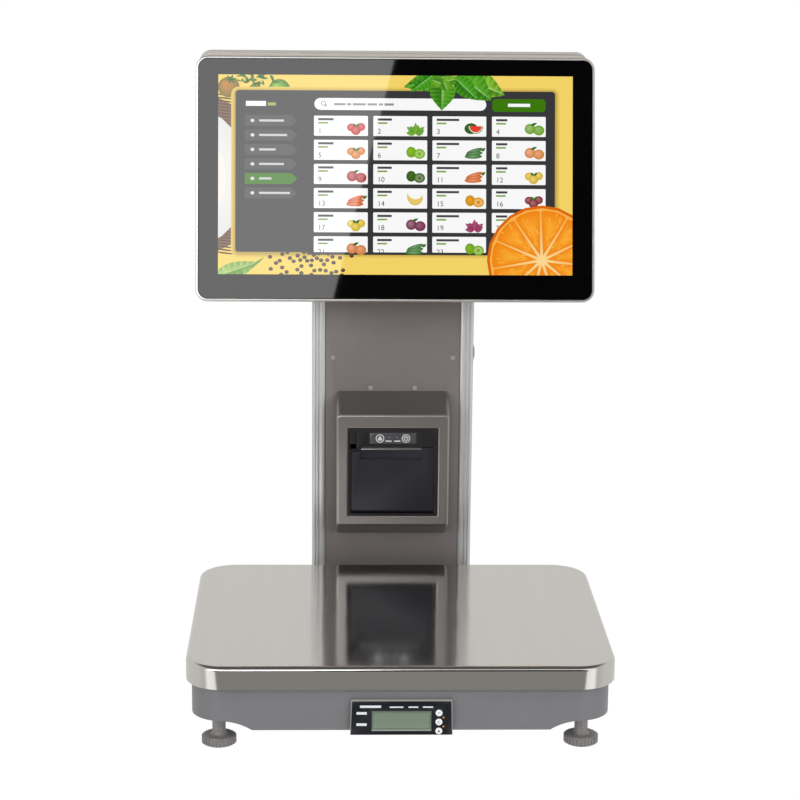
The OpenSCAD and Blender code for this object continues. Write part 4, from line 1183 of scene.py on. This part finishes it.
@dataclass(frozen=True)
class Tray:
    """An open box with round corners and a filleted closed side."""

    width: float
    height: float
    radius: float
    depth: float
    wall: float
    edge: float
    reach: float = 0.0
    lip: float = 0.0003
    band: float = 0.002
    corner_steps: int = 12

    def build(self, name: str, place: Callable[[float, float, float], Point]) -> bpy.types.Object:
        """Makes the object.

        Args:
            name: Its name.
            place: Takes (across, up, depth) to the frame, depth nought at the open side.

        Returns:
            The object.
        """
        def ring(inset: float, depth: float) -> list[Point]:
            """Points of one ring."""
            flat = rounded_ring(self.width - 2 * inset, self.height - 2 * inset,
                                self.radius - inset, self.corner_steps)
            return [place(u, v, depth) for u, v in flat]
        inner_edge = max(self.edge - self.wall, self.lip)
        inner_reach = max(self.reach - self.wall, inner_edge)
        rings = [ring(self.wall + inner_edge + self.band, self.depth - self.wall)]
        for inset, drop in reversed(fillet(inner_edge, 4, inner_reach)):
            rings.append(ring(self.wall + inset, self.depth - self.wall - drop))
        rings.append(ring(self.wall, 0))
        rings += [ring(self.wall / 2 - self.lip / 2, 0), ring(self.lip, 0), ring(0, self.lip)]
        for inset, drop in fillet(self.edge, 8, self.reach):
            rings.append(ring(inset, self.depth - drop))
        rings.append(ring(self.edge + self.band, self.depth))
        return loft(name, rings)


class Studio:
    """Camera, lights, floor and surroundings."""

    position = Vector((-0.06339, -2.15135, 0.77791))
    yaw, pitch, roll = 0.0311, 0.2356, 0.0096
    lens, sensor = 104.3, 36
    near, far = 0.05, 60
    floor_half = 3
    front_high = (0.004, 0.004, 0.005)
    front_below = (0.30, 0.295, 0.28)
    zenith = (0.12, 0.12, 0.12)
    white = (1.02, 1.02, 1.02)
    warm = (1, 0.985, 0.96)
    glows = ((0.0, 0.0), (0.05, 0.0), (0.085, 1.15), (0.2, 1.25), (0.27, 0.62), (0.45, 0.74),
             (1.0, 0.76))
    lamps = (("overhead", (0.0, -0.3, 3.2), (0, 0, 0), (3.2, 3.2), 45),
             ("front_left", (-2.0, -2.1, 1.0), (0, 0, 0.2), (1.2, 1.2), 18),
             ("front_right", (2.0, -2.1, 1.0), (0, 0, 0.2), (1.2, 1.2), 26),
             ("front_low", (0.0, -2.6, 0.35), (0, 0.1, 0.25), (2.2, 0.5), 5))
    card_corners = ((-3.2, -2.6, 0.7), (-0.16, -2.6, 0.7), (0.134, -2.6, 1.9), (-3.2, -2.6, 1.9))
    card_glow = 3.6

    def camera(self) -> None:
        """Places the scene's camera."""
        ahead = Vector((math.sin(self.yaw) * math.cos(self.pitch),
                        math.cos(self.yaw) * math.cos(self.pitch), -math.sin(self.pitch)))
        level = Vector((math.cos(self.yaw), -math.sin(self.yaw), 0))
        above = level.cross(ahead)
        right = math.cos(self.roll) * level + math.sin(self.roll) * above
        up = math.cos(self.roll) * above - math.sin(self.roll) * level
        data = bpy.data.cameras.new("camera")
        data.lens, data.sensor_width = self.lens, self.sensor
        data.clip_start, data.clip_end = self.near, self.far
        holder = bpy.data.objects.new("camera", data)
        turn = Matrix((right, up, -ahead)).transposed().to_4x4()
        holder.matrix_world = Matrix.Translation(self.position) @ turn
        bpy.context.scene.collection.objects.link(holder)
        bpy.context.scene.camera = holder

    def surroundings(self) -> None:
        """White for the camera; for the rest bright behind and dark in front."""
        scene = bpy.context.scene
        scene.view_settings.view_transform = "Standard"
        scene.view_settings.look = "None"
        scene.world = bpy.data.worlds.new("studio")
        scene.world.use_nodes = True
        tree = NodeTree(scene.world.node_tree)
        tree.tree.nodes.clear()

        def step(value: object, low: float, high: float) -> bpy.types.NodeSocket:
            """Nought below low, one above high, smooth between."""
            return tree.add("ShaderNodeMapRange", {"interpolation_type": "SMOOTHSTEP"}, {
                "Value": value, "From Min": low, "From Max": high}).outputs[0]
        way = tree.add("ShaderNodeTexCoord", {}, {}).outputs["Generated"]
        parts = tree.add("ShaderNodeSeparateXYZ", {}, {0: way}).outputs
        back = tree.add("ShaderNodeMapRange", {}, {"Value": parts[1], "From Min": -1.0}).outputs[0]
        stops = [(place, tuple(glow * c for c in self.warm)) for place, glow in self.glows]
        around = tree.add("ShaderNodeValToRGB", {"stops": stops}, {"Fac": back}).outputs[0]
        front = tree.blend(step(parts[2], 0.02, -0.06), self.front_high, self.front_below)
        level = tree.blend(step(back, 0.05, 0.085), front, around)
        shade = tree.blend(step(parts[2], 0.55, 0.85), level, self.zenith)
        seen = tree.add("ShaderNodeLightPath", {}, {}).outputs["Is Camera Ray"]
        final = tree.add("ShaderNodeBackground", {}, {"Color": tree.blend(seen, shade, self.white)})
        tree.add("ShaderNodeOutputWorld", {}, {"Surface": final.outputs[0]})

    def lamp(self, name: str, place: Point, target: Point, size: Flat, power: float) -> None:
        """Adds an area light that the camera and reflections don't see.

        Args:
            name: Its name.
            place: Where it is.
            target: Where it points.
            size: Its width and height.
            power: Its power in watts.
        """
        data = bpy.data.lights.new(name, "AREA")
        data.shape = "RECTANGLE"
        data.size, data.size_y = size
        data.energy = power
        holder = bpy.data.objects.new(name, data)
        holder.location = place
        aim = Vector(target) - Vector(place)
        holder.rotation_euler = aim.to_track_quat("-Z", "Y").to_euler()
        holder.visible_camera = False
        holder.visible_glossy = False
        bpy.context.scene.collection.objects.link(holder)

    def card(self) -> None:
        """Adds the glowing card that shows only in glossy reflections."""
        piece = mesh_object("glare_card", self.card_corners, [list(range(len(self.card_corners)))])
        material = bpy.data.materials.new("glare_card")
        material.use_nodes = True
        tree = NodeTree(material.node_tree)
        tree.tree.nodes.clear()
        light = tree.add("ShaderNodeEmission", {}, {"Strength": self.card_glow})
        tree.add("ShaderNodeOutputMaterial", {}, {"Surface": light.outputs[0]})
        piece.data.materials.append(material)
        for way in ("visible_camera", "visible_diffuse", "visible_shadow", "visible_transmission"):
            setattr(piece, way, False)

    def floor(self) -> None:
        """A wide white floor that gives soft light from below."""
        half = self.floor_half
        corners = [(-half, -half, 0), (half, -half, 0), (half, half, 0), (-half, half, 0)]
        piece = mesh_object("floor", corners, [[0, 1, 2, 3]])
        tree = ShaderTree("floor_white")
        grain = tree.noise(0.4, 2)
        tree.feed(tree.surface.inputs["Base Color"],
                  tree.blend(grain, (0.92, 0.92, 0.92), (0.96, 0.96, 0.96)))
        tree.surface.inputs["Roughness"].default_value = 0.9
        piece.data.materials.append(tree.material)
        piece.visible_glossy = False
        piece.visible_camera = False

    def build(self) -> None:
        """Sets everything up."""
        self.surroundings()
        self.floor()
        for lamp in self.lamps:
            self.lamp(*lamp)
        self.card()


@dataclass
class WeighingBase:
    """Pan, spider, casing, plinth and feet."""

    pan_edge: float = 0.0042
    pan_corner: float = 0.035
    pan_sheet: float = 0.0015
    pan_steps: int = 20
    foot_r: float = 0.0158
    foot_h: float = 0.0084
    neck_r: float = 0.006
    stud_r: float = 0.005
    stud_length: float = 0.0164
    stud_edge: float = 0.001
    thread_pitch: float = 0.0013
    thread_depth: float = 0.0006
    disc_edge: float = 0.0012
    flare: float = 0.003
    flare_steps: int = 6
    chamfer: float = 0.0004
    axis_r: float = 0.0005
    turned_steps: int = 72
    ribs: int = 28
    rib_out: float = 0.0014
    rib_sink: float = 0.00005
    rib_short: float = 0.002

    def pan(self) -> None:
        """Weighing pan with rolled edges."""
        low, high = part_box("weighing_pan")
        middle = (low + high) / 2
        tray = Tray(high.x - low.x, high.y - low.y, self.pan_corner, high.z - low.z,
                    self.pan_sheet, self.pan_edge, corner_steps=self.pan_steps)
        piece = tray.build("pan_body", lambda u, v, w: (middle.x + u, middle.y + v, low.z + w))
        finish_piece(piece, Finishes.pan, "pan", ["weighing_pan"])

    def foot(self, node: str, repeater: Repeater) -> None:
        """One levelling foot: ribbed disc, flared neck and threaded stud."""
        low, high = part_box(node)
        centre = ((low.x + high.x) / 2, (low.y + high.y) / 2, 0.0)
        disc = self.foot_r - self.rib_out
        profile: list[Flat] = [
            (self.axis_r, 0), (disc - self.disc_edge, 0), (disc, self.disc_edge),
            (disc, self.foot_h - self.disc_edge), (disc - self.chamfer, self.foot_h - self.chamfer),
            (disc - self.disc_edge, self.foot_h)]
        for i in range(self.flare_steps + 1):
            a = math.pi / 2 * i / self.flare_steps
            profile.append((self.neck_r + self.flare * (1 - math.sin(a)),
                            self.foot_h + self.flare * (1 - math.cos(a))))
        top = high.z - 0.1 * MM
        z = high.z - self.stud_length
        root = self.stud_r - self.thread_depth
        profile += [(self.neck_r, z - self.chamfer), (self.neck_r - self.chamfer, z)]
        while z < top - self.thread_pitch:
            profile += [(root, z), (self.stud_r, z + self.thread_pitch * 0.45),
                        (self.stud_r, z + self.thread_pitch * 0.55)]
            z += self.thread_pitch
        profile += [(root, z), (self.stud_r - self.stud_edge, top), (self.axis_r, top)]
        piece = lathe(f"{node}_body", profile, centre, self.turned_steps)
        finish_piece(piece, Finishes.foot, node, [node])
        ribs = repeater.grow(f"{node}_ribs", [(centre[0], centre[1], self.foot_h / 2)],
                             Radius=disc - self.rib_sink, Height=self.foot_h - self.rib_short,
                             Count=self.ribs)
        finish_piece(ribs, Finishes.foot, node)

    def build(self) -> None:
        """Makes every piece."""
        self.pan()
        soften("base_casing", 0.002, Finishes.casing)
        soften("column_plinth", 0.0015, Finishes.plinth)
        soften("base_floor_plate", 0.0004, Finishes.sheet)
        soften("pan_spider", 0.0006, Finishes.cast, "spider")
        soften("load_cell", 0.0004, Finishes.cell)
        soften("load_cell_block", 0.0006, Finishes.cell)
        soften("spider_pads", 0.0006, Finishes.rubber, "spider")
        soften("bubble_level", 0.0004, Finishes.vial)
        ribs = rib_ring(Finishes.foot)
        for node in ("foot_front_left", "foot_front_right", "foot_rear_left", "foot_rear_right"):
            self.foot(node, ribs)
        soften("mains_inlet", 0.0004, Finishes.inlet)


@dataclass
class WeightIndicator:
    """The front display with its sheet, crystal, keys and printed marks."""

    def marks(self) -> None:
        """Plain printed bars on the sheet and a thin line around the crystal's window."""
        low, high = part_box("indicator_face")
        plane = low.y
        art = Picture("indicator_marks", (0.043, 0.015))
        middle_z = (low.z + high.z) / 2
        pale = srgb(214, 216, 222)
        glass_low, glass_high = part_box("indicator_lcd")
        top = glass_high.z - middle_z + 0.0034
        for left, right in ((-0.0365, -0.018), (-0.0105, 0.0015), (0.006, 0.0145), (0.0185, 0.0275)):
            size = 0.0013 if left > -0.02 else 0.0022
            art.box(left, top, right, top + size, pale, 1)
        for row in (0.0045, -0.006):
            art.box(-0.0395, row - 0.0012, -0.0305, row + 0.0012, pale, 1)
        piece = art.build(Matrix.Translation((0, plane, middle_z)), Finishes.ink)
        finish_piece(piece, Finishes.ink, "base")
        rim = srgb(96, 104, 100)
        window = Picture("indicator_window_line", (0.043, 0.016))
        width = (glass_high.x - glass_low.x) / 2 - 0.0012
        height = (glass_high.z - glass_low.z) / 2 - 0.0012
        lift = (glass_low.z + glass_high.z) / 2 - middle_z
        for box in ((-width, lift - height - 0.0004, width, lift - height),
                    (-width, lift + height, width, lift + height + 0.0004),
                    (-width - 0.0004, lift - height, -width, lift + height),
                    (width, lift - height, width + 0.0004, lift + height)):
            window.box(*box, rim, 1)
        line = window.build(Matrix.Translation((0, plane, middle_z)), Finishes.ink)
        finish_piece(line, Finishes.ink, "base")

    def key_marks(self, node: str, kind: int) -> None:
        """A small plain mark on a key."""
        low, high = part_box(node)
        art = Picture(f"{node}_mark", (0.003, 0.003))
        tone = srgb(60, 62, 66)
        if kind == 0:
            for sign in (1, -1):
                art.box(-0.0013, sign * 0.0007 - 0.0002, 0.0013, sign * 0.0007 + 0.0002, tone, 1)
        elif kind == 1:
            art.disc(0.0024, tone, 1, 5)
            art.disc(0.0017, srgb(236, 236, 238), 1.6, 5)
        else:
            art.polygon([(-0.0013, -0.001, tone), (0.0013, -0.001, tone), (0, 0.0013, tone)], 1)
        middle = (low + high) / 2
        piece = art.build(Matrix.Translation((middle.x, low.y, middle.z)), Finishes.ink)
        finish_piece(piece, Finishes.ink, node)

    def build(self) -> None:
        """Makes every piece."""
        soften("indicator_housing", 0.0008, Finishes.frame)
        soften("indicator_face", 0.0003, Finishes.overlay)
        soften("indicator_lcd", 0.0002, Finishes.crystal)
        dress_node("indicator_board", Finishes.board)
        soften("indicator_leds", 0.0001, Finishes.amber)
        for i, node in enumerate(("zero_key", "tare_key", "unit_key")):
            soften(node, 0.00035, Finishes.key, node)
            self.key_marks(node, i)
        self.marks()


@dataclass
class Column:
    """Side profiles, panels, cap and the parts inside them."""

    def build(self) -> None:
        """Makes every piece."""
        for side in ("left", "right"):
            soften(f"column_{side}_profile", 0.0005, Finishes.profile)
        soften("column_front_panel", 0.0003, Finishes.column)
        dress_node("column_rear_cover", Finishes.column)
        soften("column_top_cap", 0.0006, Finishes.bracket)
        soften("head_bracket", 0.0008, Finishes.bracket)
        dress_node("hinge_pins", Finishes.screw)
        soften("panel_screws", 0.0002, Finishes.painted_screw)
        dress_node("main_board", Finishes.board)
        dress_node("power_supply", Finishes.sheet)
        soften("power_button_bezel", 0.0003, Finishes.button)
        soften("power_button", 0.0004, Finishes.button, "power_button")


@dataclass
class LabelPrinter:
    """Hood, printer front, door and the mechanism behind it."""

    corner: float = 0.0035
    edge: float = 0.0022
    wall: float = 0.003

    def hood(self) -> None:
        """The hood: a hollow wedge with round edges and a square opening."""
        low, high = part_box("printer_hood")
        door_low, door_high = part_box("printer_bezel")
        middle = (low.z + high.z) / 2
        width = high.x - low.x
        back_h, front_h = high.z - low.z, 0.1151
        gap = 0.0003
        opening = (door_high.x - door_low.x + 2 * gap, door_high.z - door_low.z + 2 * gap)
        opening_up = (door_low.z + door_high.z) / 2 - middle
        depth = high.y - low.y

        def ring(w: float, h: float, radius: float, back: float, up: float = 0.0) -> list[Point]:
            """One ring of the hood, back metres behind its front."""
            return [(u, low.y + back, middle + up + v) for u, v in rounded_ring(w, h, radius, 8)]

        def outer(back: float, inset: float) -> list[Point]:
            """A ring of the outside, brought in by inset."""
            h = front_h + (back_h - front_h) * back / depth
            return ring(width - 2 * inset, h - 2 * inset, self.corner + 0.0005 - min(inset, 0.003), back)
        rings = [outer(depth, 0), outer(self.edge + 0.001, 0)]
        rings += [outer(drop, inset) for inset, drop in fillet(self.edge, 5)]
        rings.append(ring(width - 2 * self.edge - 0.001, front_h - 2 * self.edge - 0.001, 0.002, 0))
        rings.append(ring(opening[0] + 0.003, opening[1] + 0.003, 0.0016, 0, opening_up))
        rings += [ring(opening[0] + 2 * inset, opening[1] + 2 * inset, 0.0012, drop, opening_up)
                  for inset, drop in reversed(fillet(0.0008, 3))]
        rings.append(ring(opening[0], opening[1], 0.0008, self.wall, opening_up))
        inner_w, inner_h = width - 2 * self.wall, front_h - 2 * self.wall + 0.0012
        rings.append(ring(inner_w, inner_h, 0.001, self.wall))
        rings.append(ring(inner_w, back_h - 2 * self.wall, 0.001, depth))
        piece = loft("printer_hood_body", rings, closed=True)
        finish_piece(piece, Finishes.hood, "base", ["printer_hood"])

    def marks(self) -> None:
        """Feed and power signs on the two buttons and small marks between them."""
        pale = srgb(226, 226, 228)
        low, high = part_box("control_strip")
        middle = (low + high) / 2
        for node, kind in (("feed_button", 0), ("printer_power_button", 1)):
            b_low, b_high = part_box(node)
            spot = (b_low + b_high) / 2
            art = Picture(f"{node}_sign", (0.0044, 0.0044))
            dark = srgb(60, 60, 64)
            art.disc(0.0084, pale, 1, 10)
            art.disc(0.0071, dark, 1.8, 10)
            if kind:
                art.disc(0.0046, pale, 2.6, 8)
                art.disc(0.0033, dark, 3.4, 8)
                art.box(-0.0008, 0.0006, 0.0008, 0.0028, dark, 4.2)
                art.box(-0.0004, 0.0003, 0.0004, 0.0026, pale, 5)
            else:
                art.polygon([(-0.0022, -0.0001, pale), (0.0022, -0.0001, pale), (0, 0.0024, pale)], 2.6)
                art.box(-0.0022, -0.0019, 0.0022, -0.0007, pale, 2.6)
            piece = art.build(Matrix.Translation((spot.x, b_low.y, spot.z)), Finishes.ink)
            finish_piece(piece, Finishes.ink, node)
        art = Picture("strip_marks", (0.011, 0.005))
        for left in (-0.0074, 0.0014):
            art.box(left, -0.0032, left + 0.006, -0.0023, pale, 1)
        for left in (-0.0038, 0.0035):
            art.box(left, 0.0006, left + 0.0007, 0.0016, srgb(150, 152, 150), 1)
        piece = art.build(Matrix.Translation((middle.x, low.y, middle.z)), Finishes.ink)
        finish_piece(piece, Finishes.ink, "base")

    def build(self) -> None:
        """Makes every piece."""
        self.hood()
        soften("printer_bezel", 0.0005, Finishes.moulded)
        soften("printer_door", 0.0005, Finishes.door, "printer_door")
        soften("door_hinge_pin", 0.0002, Finishes.screw)
        soften("tear_bar", 0.0001, Finishes.bar, "printer_door")
        soften("platen_roller", 0.0002, Finishes.rubber, "platen")
        soften("platen_gear", 0.0001, Finishes.gear, "platen")
        soften("motor_pinion", 0.0001, Finishes.brass, "pinion")
        dress_node("stepper_motor", Finishes.sheet)
        soften("print_head", 0.0003, Finishes.head, "print_head")
        soften("release_lever", 0.0004, Finishes.moulded, "release_lever")
        soften("control_strip", 0.0001, Finishes.strip)
        for node in ("feed_button", "printer_power_button"):
            soften(node, 0.0003, Finishes.strip, node)
        soften("roll_well", 0.0004, Finishes.moulded)
        soften("label_roll", 0.0002, Finishes.paper, "label_roll")
        self.marks()


@dataclass
class Screen:
    """One tilting screen: rim, glass, picture, shell and hinge leaf."""

    side: str
    body: str
    width: float = 0.388
    height: float = 0.238
    radius: float = 0.012
    rim_w: float = 0.0024
    rim_edge: float = 0.0013
    inner_edge: float = 0.0003
    rim_d: float = 0.008
    drop: float = 0.0485
    lean: float = math.radians(13.6)
    front: float = -0.035
    back: float = -0.009
    picture_up: float = 0.004
    shell_edge: float = 0.008
    shell_reach: float = 0.015
    pivot_y: float = -0.017
    pivot_z: float = 0.5
    mid_y: float = 0.148

    def place(self) -> Matrix:
        """Takes the screen's own axes to the frame."""
        turn = Matrix.Rotation(math.pi if self.side == "customer" else 0.0, 4, "Z")
        return (Matrix.Translation((0, self.mid_y, 0)) @ turn
                @ Matrix.Translation((0, self.pivot_y, self.pivot_z))
                @ Matrix.Rotation(-self.lean, 4, "X"))

    def _ring(self, inset: float, y: float) -> list[Point]:
        """A ring of the outline brought in by inset, at y in the screen's own axes."""
        place = self.place()
        flat = rounded_ring(self.width - 2 * inset, self.height - 2 * inset, self.radius - inset, 12)
        return [tuple(place @ Vector((u, y, v - self.drop))) for u, v in flat]

    def rim(self) -> None:
        """Metal rim with softened edges."""
        face, back = self.front, self.front + self.rim_d
        rings = [self._ring(0, back), self._ring(0, face + self.rim_edge + 0.001)]
        rings += [self._ring(inset, face + drop) for inset, drop in fillet(self.rim_edge, 4)]
        rings += [self._ring(self.rim_w - self.inner_edge, face),
                  self._ring(self.rim_w, face + self.inner_edge), self._ring(self.rim_w, back)]
        piece = loft(f"{self.side}_rim_body", rings, closed=True)
        finish_piece(piece, Finishes.rim, self.body, [f"{self.side}_rim"])

    def glass(self) -> None:
        """Cover glass with a polished edge."""
        inset, face = self.rim_w + 0.0001, self.front + 0.0003
        rings = [self._ring(inset + 0.003, face), self._ring(inset + 0.0004, face),
                 self._ring(inset, face + 0.0004), self._ring(inset, face + 0.0018)]
        piece = loft(f"{self.side}_glass_body", rings)
        finish_piece(piece, Finishes.glass, self.body, [f"{self.side}_glass"])

    def shell(self) -> None:
        """Rear shell with a wide round edge."""
        place = self.place()
        start = self.front + self.rim_d
        tray = Tray(self.width - 0.002, self.height - 0.002, self.radius - 0.001,
                    self.back - start, 0.0025, self.shell_edge, self.shell_reach)
        piece = tray.build(f"{self.side}_shell_body",
                           lambda u, v, w: tuple(place @ Vector((u, start + w, v - self.drop))))
        finish_piece(piece, Finishes.shell, self.body, [f"{self.side}_rear_shell"])

    def build(self) -> None:
        """Makes every piece."""
        self.rim()
        self.glass()
        self.shell()
        dress_node(f"{self.side}_lcd", Finishes.glass)
        soften(f"{self.side}_hinge_leaf", 0.0006, Finishes.bracket, self.body)
        art = SalesPicture() if self.side == "operator" else TotalPicture()
        plane = Matrix.Translation((0, self.front + 0.0003, self.picture_up - self.drop))
        picture = art.build(self.place() @ plane)
        finish_piece(picture, Finishes.picture, self.body)


def write_sizes() -> None:
    """Brings the view layer up to date."""
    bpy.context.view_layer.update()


def main() -> None:
    """Builds the scene in order."""
    logging.basicConfig(level=logging.INFO, format="%(message)s")
    studio = Studio()
    studio.camera()
    studio.build()
    WeighingBase().build()
    WeightIndicator().build()
    Column().build()
    LabelPrinter().build()
    Screen("operator", "operator_screen").build()
    Screen("customer", "customer_screen").build()
    write_sizes()


if __name__ == "__main__":
    main()
